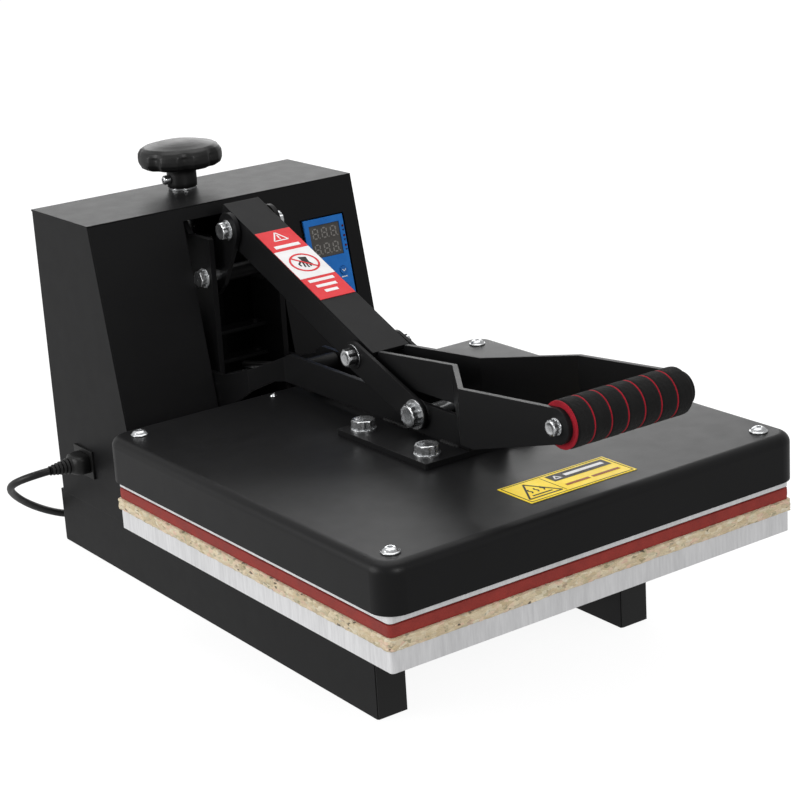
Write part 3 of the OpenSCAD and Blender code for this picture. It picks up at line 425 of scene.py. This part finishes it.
def loftedBody(stations, direction, start, side):
    # rounded-rectangle sections (superellipses) strung along a line: each station gives its
    # distance, half width, half height and squareness; the power rises from 2 (round) to square
    u, v, w = axes(direction, side)
    angle = np.arange(plugForm["sides"]) * 2 * math.pi / plugForm["sides"]
    c, s = np.cos(angle), np.sin(angle)
    d, a, b, p = (np.array(k)[:, None] for k in zip(*stations))
    x = a * np.sign(c) * np.abs(c) ** (2 / p)
    y = b * np.sign(s) * np.abs(s) ** (2 / p)
    rings = start + x[..., None] * u + y[..., None] * v + d[..., None] * w
    return closedStack(rings)


def joined(parts):
    # several closed shapes as one list of points and faces
    points, faces, count = [], [], 0
    for p, f in parts:
        points.append(np.asarray(p))
        faces += [[int(i) + count for i in face] for face in f]
        count += len(p)
    return np.concatenate(points), faces


def ribbed(d0, d1, r0, r1, count, depth):
    # a taper with rounded ribs: the radius falls evenly while a cosine dips between the ribs
    d = np.linspace(d0, d1, count * 8 + 1)
    t = (d - d0) / (d1 - d0)
    r = r0 + (r1 - r0) * t - depth * (0.5 - 0.5 * np.cos(2 * math.pi * count * t)) * (t < 0.999)
    return [(a, b, b, 2.0) for a, b in zip(d / 1000, r / 1000)]


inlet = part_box("power_inlet")
inletMid = np.array([inlet[0][0], (inlet[0][1] + inlet[1][1]) / 2, (inlet[0][2] + inlet[1][2]) / 2])
body = [(-0.0030, 0.0108, 0.0068, 6), (0.0002, 0.0108, 0.0068, 6), (0.0002, 0.0126, 0.0086, 4.5),
        (0.0008, 0.0130, 0.0090, 4.5), (0.0070, 0.0129, 0.0089, 4.2), (0.0108, 0.0120, 0.0088, 3.4),
        (0.0124, 0.0104, 0.0084, 2.8), (0.0134, 0.0088, 0.0080, 2.2)]
body += ribbed(13.8, 34.1, 8.0, 4.4, 6, 0.7)
connector = newPiece("mainsConnector", *loftedBody(body, (-1, 0, 0), inletMid, (0, 1, 0)), "sheath", "base", 50)
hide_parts("cord_connector")

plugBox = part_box("cord_plug")
tip = path[-1]
plugStart = np.array([tip[0] - 0.004, tip[1], tip[2] + 0.0006])
bodyMid = np.array([plugBox[0][0] + 0.032, tip[1], 0.0125])
lean = bodyMid - plugStart
sleeve = loftedBody(ribbed(0, 1000 * np.linalg.norm(lean) + 1, 4.6, 7.4, 7, 0.8), lean, plugStart, (0, 1, 0))
shell = loftedBody([(0, 0.0074, 0.0074, 2.2), (0.003, 0.0105, 0.0098, 2.8), (0.010, 0.0126, 0.0118, 3.6),
                    (0.030, 0.0129, 0.0119, 4.2), (0.0335, 0.0126, 0.0117, 4.2), (0.0342, 0.0118, 0.0108, 4)],
                   (1, 0, 0), bodyMid, (0, 1, 0))
plug = newPiece("mainsPlug", *joined([sleeve, shell]), "sheath", "base", 50)
bladeRise = [(0, 0.0031, 0.0008, 9), (0.0160, 0.0031, 0.0008, 9), (0.0176, 0.0024, 0.0005, 7)]
pins = [loftedBody(bladeRise, (1, 0, 0), bodyMid + (0.034, y, 0.0036), (0, 0, 1)) for y in (-0.0064, 0.0064)]
pins.append(loftedBody([(0, 0.0023, 0.0023, 2), (0.0165, 0.0023, 0.0023, 2), (0.0190, 0.0012, 0.0012, 2)],
                       (1, 0, 0), bodyMid + (0.034, 0, -0.0062), (0, 0, 1)))
plugPins = newPiece("mainsPlugPins", *joined(pins), "zinc", "base", 30)
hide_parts("cord_plug")
print("connector and plug made")


def turnedShape(profile, centre, direction, steps=48, hexRows=(), flats=0.016):
    # each profile point (radius, height) goes round the axis; on the rows in hexRows the radius
    # is the smaller of the profile's and that of a hexagon whose flats are the given width apart
    u, v, w = axes(direction)
    angle = np.arange(steps) * 2 * math.pi / steps
    radius, height = np.array(profile).T
    rr = np.repeat(radius[:, None], steps, 1)
    sector = (angle + math.pi / 6) % (math.pi / 3) - math.pi / 6
    rows = list(hexRows)
    rr[rows] = np.minimum(rr[rows], flats / 2 / np.cos(sector))
    rings = (np.asarray(centre, float) + rr[..., None] * (np.cos(angle)[None, :, None] * u
             + np.sin(angle)[None, :, None] * v) + height[:, None, None] * w)
    return closedStack(rings)


hexForm = {"proud": 0.00018, "chamfer": 0.0011, "dish": 0.00015, "threadPitch": 0.0015}


def hexPart(centre, direction, flats, base, top, washer, washerFrom, boltRadius=0.0, end=0.0):
    # washer, hexagon with its corners cut by a cone, and either a dished head or a threaded end
    proud, chamfer = hexForm["proud"], hexForm["chamfer"]
    corner = flats / math.sqrt(3) + 0.0002
    lip = flats / 2
    low, high = base - 0.0002, top + 2 * proud
    profile = [(washer - 0.0004, washerFrom), (washer + proud, washerFrom + 0.0003), (washer + proud, base - 0.0004),
               (washer - 0.0003, base), (corner, low), (corner, high - chamfer * 0.62),
               (corner - 0.0006, high - chamfer * 0.34), (lip + 0.00005, high - 0.0001), (lip - 0.0004, high)]
    rows = [4, 5, 6, 7]
    if end:
        turns = np.arange(high + 0.0002, top + end, hexForm["threadPitch"] / 2)
        profile.append((boltRadius + 0.0003, high))
        profile += [(boltRadius - (0.0006 if i % 2 else 0), h) for i, h in enumerate(turns)]
        profile.append((boltRadius - 0.0012, top + end))
    else:
        floorOfDish = high - hexForm["dish"]
        profile += [(lip * 0.72, high - 0.00005), (lip * 0.66, floorOfDish), (lip * 0.3, floorOfDish)]
    return turnedShape(profile, centre, direction, 48, rows, flats + 2 * proud)


def middle(node):
    lo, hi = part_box(node)
    return (np.array(lo) + np.array(hi)) / 2


def pairAcross(point, *sizes, **extra):
    # a head on the left of the press and a nut with its thread on the right
    left = hexPart(point, (-1, 0, 0), *sizes)
    return joined([left, hexPart(point, (1, 0, 0), *sizes, **extra)])


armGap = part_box("knee_bolt")[1][0] - 0.0124
knee = np.array(joints["toggle_fold"]["pos_m"])
lever = np.array(joints["lever_swing"]["pos_m"])
rocker = np.array(joints["rocker_tilt"]["pos_m"])
armPivot = np.array(joints["arm_lift"]["pos_m"])
toggleTop = np.array(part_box("toggle_plates")[1])
elbow = np.array([0, toggleTop[1] - 0.0125, toggleTop[2] - 0.0125])
gripMid = middle("grip_foam")
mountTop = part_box("mounting_plate")[1][2]
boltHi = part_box("mounting_bolts")[1]
mountMid = middle("mounting_plate")
boltX = boltHi[0] - 0.0105
boltY = boltHi[1] - mountMid[1] - 0.0105


def nutSizes(node, flats, washer, thick, height=0.0064):
    # the nut ends where the node's CAD solid ends, and its washer lies under it
    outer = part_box(node)[1][0]
    return flats, outer - height, outer, washer, outer - height - thick


# flats, washer radius, washer thickness and head height in metres, with the body each rides on
bolts = {
    "kneeBoltHeads": (knee, "carrier_arm", ("knee_bolt", 0.016, 0.012, 0.0018)),
    "elbowBoltHeads": (elbow, "toggle", ("toggle_plates", 0.013, 0.010, 0.0015)),
    "leverBoltHeads": (lever, "rocker", ("link_pivot_bolt", 0.013, 0.0088, 0.0015)),
    "rockerBoltHeads": (rocker, "base", ("rocker_pivot_bolt", 0.013, 0.0088, 0.0015, 0.0055)),
    "armPivotNuts": (armPivot, "base", ("arm_pivot_shaft", 0.024, 0.014, 0.002, 0.008)),
    "gripBoltHeads": (gripMid, "lever", ("grip_core", 0.010, 0.0062, 0.0012, 0.0042)),
}
for name, (point, body, sizes) in bolts.items():
    newPiece(name, *pairAcross(point, *nutSizes(*sizes)), "zinc", body, 30)
mountBolt = {"flats": 0.0164, "base": 0.002, "top": 0.0088, "washer": 0.0103, "washerFrom": 0.0}
mountHeads = []
for x in (-boltX, boltX):
    for y in (-boltY, boltY):
        mountHeads.append(hexPart((x, mountMid[1] + y, mountTop), (0, 0, 1), **mountBolt))
newPiece("mountingBoltHeads", *joined(mountHeads), "zinc", "carrier_arm", 30)

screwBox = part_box("cover_screws")
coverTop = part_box("top_cover")[1][2]
coverMid = middle("top_cover")
screwSpan = screwBox[1][0] - 0.007
capForm = [(0.0068, 0.0), (0.0072, 0.0004), (0.0071, 0.0010), (0.0063, 0.0013), (0.0060, 0.0015), (0.0056, 0.0024),
           (0.0048, 0.0032), (0.0037, 0.0038), (0.0028, 0.0040), (0.0022, 0.0039), (0.0021, 0.0022), (0.0008, 0.0019)]
caps = [turnedShape(capForm, (x, coverMid[1] + y, coverTop), (0, 0, 1), 36, (9, 10), 0.0038)
        for x in (-screwSpan, screwSpan) for y in (-screwSpan, screwSpan)]
shank = [(0.0024, screwBox[0][2] - coverTop), (0.0025, 0.0005)]
caps += [turnedShape(shank, (x, coverMid[1] + y, coverTop), (0, 0, 1), 12)
         for x in (-screwSpan, screwSpan) for y in (-screwSpan, screwSpan)]
smallCap = [(0.0026, 0.0), (0.0028, 0.0004), (0.0024, 0.0014), (0.0014, 0.0019), (0.0010, 0.0012), (0.0003, 0.0011)]
newPiece("leadScrew", *turnedShape(smallCap, (coverMid[0] - 0.041, coverMid[1] + 0.180, coverTop), (0, 0, 1), 24),
         "zinc", "carrier_arm", 35)
coverScrews = newPiece("coverScrews", *joined(caps), "zinc", "carrier_arm", 35)
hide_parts("cover_screws")
print("bolts made")


knobForm = {"lobes": 8, "scallop": 0.0032, "steps": 192, "disc": 0.019}


def knobSurface():
    # a domed disc on a neck: a ring of eight round dips is pressed into its side, deepest at
    # half height and fading out at the rim above and below
    lo, hi = (np.array(k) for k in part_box("pressure_knob"))
    top, r = hi[2] - lo[2], (hi[0] - lo[0]) / 2
    disc = knobForm["disc"]
    side = [(0.0035, 0.0002), (0.0128, 0.0), (0.0136, 0.0010), (0.0136, disc - 0.003), (0.0152, disc - 0.0004),
            (r - 0.0100, disc + 0.0002), (r - 0.0050, disc + 0.0008), (r - 0.0016, disc + 0.0028),
            (r - 0.0002, disc + 0.0062), (r, disc + 0.0100), (r - 0.0004, disc + 0.0140), (r - 0.0024, disc + 0.0172),
            (r - 0.0060, disc + 0.0194)]
    side += [(k, top - k * k / 0.2) for k in (r - 0.0110, 0.023, 0.017, 0.012, 0.007, 0.001)]
    profile = np.array(side)
    fine = np.concatenate([np.linspace(profile[i], profile[i + 1], 5)[:-1] for i in range(len(profile) - 1)]
                          + [profile[-1:]])
    radius, height = fine.T
    angle = np.arange(knobForm["steps"]) * 2 * math.pi / knobForm["steps"]
    dip = np.maximum(0, np.cos(angle * knobForm["lobes"] + math.pi)) ** 1.3
    onSide = np.clip((radius - (r - 0.0090)) / 0.0060, 0, 1) * np.clip((disc + 0.0205 - height) / 0.0080, 0, 1)
    rr = radius[:, None] - knobForm["scallop"] * onSide[:, None] * dip[None]
    centre = np.array([(lo[0] + hi[0]) / 2, (lo[1] + hi[1]) / 2, lo[2]])
    rings = centre + np.stack([rr * np.cos(angle), rr * np.sin(angle), np.repeat(height[:, None], len(angle), 1)], 2)
    return closedStack(rings)


knob = newPiece("pressureKnob", *knobSurface(), "moulding", "knob", 50)
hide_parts("pressure_knob")
knobLow = np.array(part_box("pressure_knob")[0])
screwMid = middle("pressure_knob")
setScrew = turnedShape([(0.0041, 0.0), (0.0043, 0.0004), (0.0043, 0.0046), (0.0037, 0.0058), (0.0027, 0.0064),
                        (0.0019, 0.0064), (0.0017, 0.0049), (0.0004, 0.0047)],
                       (screwMid[0] - 0.0134, screwMid[1], knobLow[2] + 0.0086), (-1, 0, 0), 24, (5, 6), 0.0032)
newPiece("knobSetScrew", *setScrew, "zinc", "knob", 35)
print("knob made")


padForm = {"felt": {"step": 0.0032, "crumb": 0.00055, "bend": 0.0012, "corner": 0.004},
           "silicone": {"step": 0.0045, "crumb": 0.00008, "bend": 0.0009, "corner": 0.004}}


def roughness(points, scale, seed):
    # a sum of sines in fixed random directions: a lumpy value between -1 and 1 at each point
    rng = np.random.default_rng(seed)
    total = np.zeros(points.shape[:-1])
    for k in range(14):
        way = rng.normal(size=3)
        way *= scale * (0.6 + 0.9 * k / 14) / np.linalg.norm(way)
        total += np.sin(points @ way + rng.uniform(0, 6.28))
    return total / 4.5


def padSurface(node, step, crumb, bend, corner, seed):
    # a rounded square outline carried up a profile with rounded edges; its side is pushed in and
    # out by the lumpy value, and the top and bottom are nested rings that close in the middle
    lo, hi = (np.array(k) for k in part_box(node))
    mid, half = (lo + hi) / 2, (hi[0] - lo[0]) / 2 - crumb * 0.8
    straight = np.arange(-half + corner, half - corner, step)
    arc = np.linspace(0, math.pi / 2, 6)[:-1]
    side = np.stack([np.full(len(straight), half), straight], 1)
    bow = half - corner + corner * np.stack([np.cos(arc), np.sin(arc)], 1)
    quarter = np.concatenate([side, bow])
    turn = np.array([[0, 1], [-1, 0]])
    outline = [quarter]
    for k in range(3):
        outline.append(outline[-1] @ turn)
    outline = np.concatenate(outline)
    inward = outline / np.abs(outline).max(1)[:, None]
    height = hi[2] - lo[2]
    t = np.linspace(0, 1, 9)
    profile = [(bend * 8, 0.0), (bend * 2, 0.0), (bend * 0.6, bend * 0.12)]
    profile += [(-0.25 * bend * math.sin(math.pi * k), bend * 0.4 + (height - 0.8 * bend) * k) for k in t]
    profile += [(bend * 0.6, height - bend * 0.12), (bend * 2, height), (bend * 8, height)]
    rings = np.array([[[*(o - i * inset), z] for o, i in zip(outline, inward)] for inset, z in profile])
    lump = roughness(rings + [0, 0, 7.0 * 0.001], 900, seed) + 0.7 * roughness(rings, 2300, seed + 1)
    edge = np.array([0, 0.2, 0.8] + [1.0] * len(t) + [0.8, 0.2, 0])[:, None, None]
    rings[..., :2] += (inward[None] * crumb * edge) * np.clip(lump, -1.2, 0.75)[..., None]
    rings[..., 0] += mid[0]
    rings[..., 1] += mid[1]
    rings[..., 2] += lo[2]
    return closedStack(rings)


felt = newPiece("feltPad", *padSurface("felt_pad", seed=4, **padForm["felt"]), "felt", "base", 60)
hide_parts("felt_pad")
silicone = newPiece("siliconePad", *padSurface("silicone_pad", seed=9, **padForm["silicone"]),
                    "redSilicone", "base", 60)
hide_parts("silicone_pad")
print("pads made")


gripForm = {"rings": 6, "ringWidth": 0.0012, "groove": 0.0007, "steps": 96, "swell": 0.0003}


def gripSurface():
    # a foam sleeve: its radius swells a little between the grooves, rounds off at both ends and
    # carries a fine lumpy texture
    lo, hi = (np.array(k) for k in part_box("grip_foam"))
    half, r = (hi[0] - lo[0]) / 2, (hi[2] - lo[2]) / 2
    x = np.linspace(-half, half, 260)
    count = gripForm["rings"]
    ringX = (np.arange(count) - (count - 1) / 2) * 2 * (half + 0.0002) / (count + 1)
    near = np.abs(x[:, None] - ringX).min(1)
    radius = r - gripForm["swell"] - gripForm["groove"] * np.exp(-(near / gripForm["ringWidth"]) ** 2)
    endRound = np.clip((np.abs(x) - (half - 0.0022)) / 0.0022, 0, 1)
    radius = radius - 0.0022 * (1 - np.sqrt(1 - endRound ** 2 * 0.98))
    angle = np.arange(gripForm["steps"]) * 2 * math.pi / gripForm["steps"]
    rings = np.stack([np.repeat(x[:, None], len(angle), 1), radius[:, None] * np.cos(angle),
                      radius[:, None] * np.sin(angle)], 2)
    rings[..., 1:] *= (1 + 0.006 * roughness(rings, 1500, 3) * (endRound[:, None] < 0.5))[..., None]
    inner = np.stack([np.full(len(angle), half), 0.0085 * np.cos(angle), 0.0085 * np.sin(angle)], 1)
    rings = np.concatenate([inner[None] * [-1, 1, 1], rings, inner[None]])
    return closedStack(rings + (lo + hi) / 2), ringX, r


def band(x, width, outer, inner, steps=72):
    # a flat ring round the grip's axis with rounded shoulders
    w = width / 2
    profile = [(inner, -w), (outer - 0.0002, -w), (outer, -w / 2), (outer, w / 2), (outer - 0.0002, w), (inner, w)]
    return turnedShape(profile, gripMid + (x, 0, 0), (1, 0, 0), steps)


(gripPoints, gripFaces), ringX, gripR = gripSurface()
foam = newPiece("gripFoam", gripPoints, gripFaces, "blackFoam", "lever", 60)
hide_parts("grip_foam")
bands = [band(x, gripForm["ringWidth"], gripR - 0.0005, gripR - 0.004) for x in ringX]
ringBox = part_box("grip_rings")
for sign, inset in ((-1, 0.0006), (1, 0.0035)):
    bands.append(band(sign * (ringBox[1][0] - 0.0006), 0.0011, gripR - inset, 0.010))
rings = newPiece("gripRings", *joined(bands), "redFoam", "lever", 40)
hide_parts("grip_rings")
print("grip made")


def flatMark(shapes, origin, across, upward, lift=0.00012):
    # flat outlines given in mm on a plane, each a thin raised film with its rim closed
    origin = np.asarray(origin, float)
    u = np.asarray(across, float) / np.linalg.norm(across)
    v = np.asarray(upward, float) - u * (np.asarray(upward, float) @ u)
    v /= np.linalg.norm(v)
    w = np.cross(u, v)
    parts = []
    for outline in shapes:
        flat = np.asarray(outline, float) / 1000
        area = np.sum(flat[:, 0] * np.roll(flat[:, 1], -1) - np.roll(flat[:, 0], -1) * flat[:, 1])
        if area < 0:
            flat = flat[::-1]
        low = origin + flat[:, :1] * u + flat[:, 1:] * v
        n = len(flat)
        faces = [list(range(n, 2 * n)), list(range(n))[::-1]]
        faces += [[k, (k + 1) % n, n + (k + 1) % n, n + k] for k in range(n)]
        parts.append((np.concatenate([low - w * 0.00005, low + w * lift]), faces))
    return joined(parts)


def bar(x0, y0, x1, y1):
    return [(x0, y0), (x1, y0), (x1, y1), (x0, y1)]


def arcBand(cx, cy, r0, r1, a0, a1, steps=24):
    # short quads round a circle, so a ring is a row of convex pieces
    a = np.radians(np.linspace(a0, a1, steps + 1))
    return [[(cx + r0 * math.cos(p), cy + r0 * math.sin(p)), (cx + r1 * math.cos(p), cy + r1 * math.sin(p)),
             (cx + r1 * math.cos(q), cy + r1 * math.sin(q)), (cx + r0 * math.cos(q), cy + r0 * math.sin(q))]
            for p, q in zip(a[:-1], a[1:])]


def stroke(x0, y0, x1, y1, width):
    # a straight bar of a given width from one point to another
    d = np.array([x1 - x0, y1 - y0]) / math.hypot(x1 - x0, y1 - y0)
    s = np.array([-d[1], d[0]]) * width / 2
    a, b = np.array([x0, y0]), np.array([x1, y1])
    return [a + s, a - s, b - s, b + s]


def triangle(cx, cy, size, width):
    # a warning triangle as three strokes with a stroke and a dot inside it
    p = [(cx, cy + size * 0.62), (cx - size * 0.58, cy - size * 0.38), (cx + size * 0.58, cy - size * 0.38)]
    marks = [stroke(*p[k], *p[(k + 1) % 3], width) for k in range(3)]
    return marks + [stroke(cx, cy + size * 0.28, cx, cy - size * 0.08, width * 1.1),
                    bar(cx - width * 0.6, cy - size * 0.25, cx + width * 0.6, cy - size * 0.14)]


# the lever's label: red ends, white middle with a barred hand, and plain bars
along = (elbow - lever) / np.linalg.norm(elbow - lever)
labelMid = middle("link_label")
normal = np.cross((1, 0, 0), -along)
normal = normal if normal[2] > 0 else -normal
labelTop = labelMid + normal * 0.0002
leverLabel = {"white": (34.8, 42), "ring": (11.6, 13.4), "slash": 8.7, "slashWidth": 1.7}
film = 0.00015  # how far a printed mark stands proud
halfX, halfY = (k / 2 for k in leverLabel["white"])
newPiece("leverLabelWhite", *flatMark([bar(-halfX, -halfY, halfX, halfY)], labelTop, (1, 0, 0), -along, film),
         "labelWhite", "lever")
ringMarks = arcBand(0, 0, *leverLabel["ring"], 0, 360, 40)
slash = leverLabel["slash"]
ringMarks.append(stroke(-slash, slash, slash, -slash, leverLabel["slashWidth"]))
newPiece("leverLabelRing", *flatMark(ringMarks, labelTop + normal * film, (1, 0, 0), -along, film * 1.6),
         "labelRed", "lever")
hand = [[(-1.5, 9.0), (5.5, 7.0), (5.0, 3.4), (-1.0, 3.6)], [(-1.0, 3.6), (5.0, 3.4), (4.2, -1.0), (-2.6, -0.4)],
        stroke(-2.0, 2.6, -6.2, -1.2, 1.7), stroke(-6.2, -1.2, -5.4, -4.4, 1.4), stroke(-1.6, -0.4, -2.8, -6.4, 1.5),
        stroke(0.6, -0.6, 0.2, -7.4, 1.5), stroke(2.6, -0.8, 3.0, -6.6, 1.5), stroke(4.0, -0.4, 5.6, -5.0, 1.4)]
newPiece("leverLabelHand", *flatMark(hand, labelTop + normal * film, (1, 0, 0), -along, film),
         "labelBlack", "lever")
pale = triangle(0, 41, 12, 1.3) + [bar(-12.5, 25.2, 12.5, 29.4), bar(-12.5, -28.2, 12.5, -24.4),
                                   bar(-10.0, -36.2, 10.0, -32.6), bar(-6.5, -44.0, 6.5, -40.4)]
newPiece("leverLabelMarks", *flatMark(pale, labelTop, (1, 0, 0), -along, film), "labelWhite", "lever")

# the cover's label: a yellow film with a black line round it, a hot-surface sign and plain bars
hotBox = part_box("hot_label")
hotMid = middle("hot_label")
hotTop = np.array([hotMid[0], hotMid[1], hotBox[1][2]])
lineMarks = [bar(-48.4, -18.0, 48.4, -17.3), bar(-48.4, 17.3, 48.4, 18.0), bar(-48.4, -17.3, -47.7, 17.3),
             bar(47.7, -17.3, 48.4, 17.3), bar(-14, -15.5, -13.6, 15.5)]
sign = [(-31, 13.5), (-46, -13), (-16, -13)]
lineMarks += [stroke(*sign[k], *sign[(k + 1) % 3], 1.5) for k in range(3)]
for k in (-36.5, -31, -25.5):
    lineMarks += [stroke(k, -4.5, k + 1.6, -1.8, 1.2), stroke(k + 1.6, -1.8, k, 0.8, 1.2),
                  stroke(k, 0.8, k + 1.4, 3.2, 1.2)]
lineMarks += [bar(-40, -9.6, -22, -8.0), bar(-9.5, 2.6, 45, 15.0)]
newPiece("coverLabelMarks", *flatMark(lineMarks, hotTop, (1, 0, 0), (0, 1, 0), film), "labelBlack", "carrier_arm")
whiteMarks = [bar(4, 6.6, 41, 10.8), stroke(-6.8, 5.4, -3.6, 11.8, 1.2), stroke(-3.6, 11.8, -0.4, 5.4, 1.2),
              stroke(-7.2, 5.8, 0, 5.8, 1.2)]
newPiece("coverLabelBar", *flatMark(whiteMarks, hotTop + (0, 0, film), (1, 0, 0), (0, 1, 0), film),
         "labelWhite", "carrier_arm")
brownMarks = [bar(-8, -9.6, 14, -6.4), bar(17, -9.6, 43, -6.4)]
newPiece("coverLabelLine", *flatMark(brownMarks, hotTop, (1, 0, 0), (0, 1, 0), film), "labelBrown", "carrier_arm")

# the controller: seven-segment digits, small signs beside the lamps and on the keys
inward = np.array(joints["button_1_press"]["axis"])
face = -inward / np.linalg.norm(inward)
slope = np.cross(face, (1, 0, 0))
slope = slope if slope[2] > 0 else -slope


def digit(cx, cy, w, h, t):
    # seven bars with pointed ends, and a dot
    g = t * 0.2
    flat = [[(cx - w + t * 0.6 + g, y), (cx - w + t + g, y + t / 2), (cx + w - t - g, y + t / 2),
             (cx + w - t * 0.6 - g, y), (cx + w - t - g, y - t / 2), (cx - w + t + g, y - t / 2)]
            for y in (cy + h, cy, cy - h)]
    tall = [[(x, y + h / 2 - g), (x - t / 2, y + h / 2 - t * 0.7), (x - t / 2, y - h / 2 + t * 0.7),
             (x, y - h / 2 + g), (x + t / 2, y - h / 2 + t * 0.7), (x + t / 2, y + h / 2 - t * 0.7)]
            for x in (cx - w, cx + w) for y in (cy + h / 2, cy - h / 2)]
    return flat + tall + [bar(cx + w + t * 0.9, cy - h - t / 2, cx + w + t * 1.7, cy - h + t / 2)]


displayMid = middle("controller_display")
displayFace = displayMid + face * 0.0012
digitForm = {"rows": (7.3, -7.3), "columns": (-10.2, -0.4, 9.4), "halfWidth": 2.6, "barHeight": 4.4, "bar": 1.25}
digits = []
for row in digitForm["rows"]:
    for column in digitForm["columns"]:
        digits += digit(column, row, digitForm["halfWidth"], digitForm["barHeight"], digitForm["bar"])
newPiece("displayDigits", *flatMark(digits, displayFace, (1, 0, 0), slope, film), "segmentGrey", "base")
ledMid = middle("indicator_leds")
bezelFace = middle("controller_bezel") + face * 0.0008
panelMarks = []
for k in range(3):
    panelMarks += [[(-1.4, 5.8 - 9 * k), (1.4, 5.8 - 9 * k), (0, 4.0 - 9 * k)]]
ledOnPanel = ledMid - face * ((ledMid - bezelFace) @ face)
newPiece("lampSigns", *flatMark(panelMarks, ledOnPanel, (1, 0, 0), slope, film), "navyInk", "base")
keySigns = {"button_1": [stroke(-1.8, -0.8, 0, 1.2, 0.7), stroke(0, 1.2, 1.8, -0.8, 0.7)],
            "button_2": [stroke(-1.8, 0.8, 0, -1.2, 0.7), stroke(0, -1.2, 1.8, 0.8, 0.7)],
            "button_3": [bar(-1.8, -0.4, 1.8, 0.4), bar(-0.4, -1.8, 0.4, 1.8)],
            "button_4": arcBand(0, 0, 1.2, 1.8, 0, 360, 16)}
panelWhite = []
for name, marks in keySigns.items():
    lo, hi = (np.array(k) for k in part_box(name))
    keyMid = (lo + hi) / 2 + face * 0.0021
    newPiece(name + "Sign", *flatMark(marks, keyMid, (1, 0, 0), slope, film), "paleInk", name)
    px, py = 1000 * ((lo + hi) / 2 - bezelFace)[0], 1000 * ((lo + hi) / 2 - bezelFace) @ slope
    panelWhite += [bar(px - 3.2, py - 6.6, px + 3.2, py - 5.6)]
newPiece("panelMarks", *flatMark(panelWhite, bezelFace, (1, 0, 0), slope, film), "paleInk", "base")
print("marks made")


weldForm = {"radius": 0.0022, "ripple": 0.0034, "step": 0.0008, "sides": 12}


def weld(start, end, seed):
    # a bead that swells and narrows in even ripples along its line; its ends are rounded off
    start, end = np.asarray(start, float), np.asarray(end, float)
    length = np.linalg.norm(end - start)
    t = np.linspace(0, 1, int(length / weldForm["step"]) + 4)
    ripple = np.sin(t * length / weldForm["ripple"] * 2 * math.pi)
    r = weldForm["radius"] * (1 + 0.16 * ripple + 0.05 * np.sin(t * 37 + seed))
    r *= np.sqrt(np.clip(1 - (2 * t - 1) ** 10, 0.02, 1))
    return sweepTube(start + (end - start) * t[:, None], r, weldForm["sides"])


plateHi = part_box("mounting_plate")[1]
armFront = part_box("arm_sides")[0][1]
beads = []
for side in (-1, 1):
    for y0, y1, seed in ((armFront + 0.012, mountMid[1] - 0.022, 1), (mountMid[1] + 0.018, plateHi[1] - 0.006, 2)):
        beads.append(weld((side * armGap, y0, mountTop), (side * armGap, y1, mountTop), seed))
newPiece("plateWelds", *joined(beads), "powderBlack", "carrier_arm", 60)
print("welds made")


def areaLight(name, place, target, size, power):
    lamp = bpy.data.lights.new(name, "AREA")
    lamp.shape = "RECTANGLE"
    lamp.size, lamp.size_y = size
    lamp.energy = power
    thing = bpy.data.objects.new(name, lamp)
    u, v, w = axes(np.subtract(place, target), (1, 0, 0.01))
    thing.matrix_world = Matrix([[*r, p] for r, p in zip(np.stack([u, v, w], 1), place)] + [[0, 0, 0, 1]])
    bpy.context.collection.objects.link(thing)


lights = {"overhead": ((0.2, 0.3, 2.2), (0.0, 0.0, 0.2), (2.4, 2.0), 23),
          "backdrop": ((1.9, 2.8, 1.2), (0, 0, 0.15), (2.4, 1.4), 22),
          "left": ((-2.4, 0.8, 0.9), (0, 0, 0.15), (1.6, 1.6), 30),
          "front": ((-0.3, -2.8, 1.4), (0, 0, 0.12), (1.2, 1.0), 28)}
for name, (place, target, size, power) in lights.items():
    areaLight(name, place, target, size, power)
world = bpy.data.worlds.new("studio")
bpy.context.scene.world = world
world.use_nodes = True
sky = world.node_tree
# the room is bright behind the press and to its left, and darker at the camera's end
way = addNode(sky, "SeparateXYZ", {"Vector": addNode(sky, "TexCoord").outputs["Generated"]})
ahead = mapRange(sky, way.outputs["Y"], -0.9, 0.8, 0.42, 0.60)
leftward = mapRange(sky, way.outputs["X"], -0.9, 0.2, 0.10, 0.0)
sky.links.new(addNode(sky, "Math", {0: ahead, 1: leftward}, operation="ADD").outputs["Value"],
              sky.nodes["Background"].inputs["Strength"])
sky.nodes["Background"].inputs["Color"].default_value = (1, 1, 1, 1)
floorMesh = bpy.data.meshes.new("floor")
reach, level = 40, -0.0004
corners = [(-reach, -reach, level), (reach, -reach, level), (reach, reach, level), (-reach, reach, level)]
floorMesh.from_pydata(corners, [], [(0, 1, 2, 3)])
floor = bpy.data.objects.new("floor", floorMesh)
floorMaterial = bpy.data.materials.new("floorPaper")
floorMaterial.use_nodes = True
paper = floorMaterial.node_tree.nodes["Principled BSDF"]
paper.inputs["Base Color"].default_value = (0.16, 0.16, 0.16, 1)
paper.inputs["Roughness"].default_value = 0.95
paper.inputs["Emission Color"].default_value = (1, 1, 1, 1)
paper.inputs["Emission Strength"].default_value = 0.9
floorMesh.materials.append(floorMaterial)
bpy.context.collection.objects.link(floor)
floor.visible_glossy = False
floor.visible_diffuse = False
print("stage set")
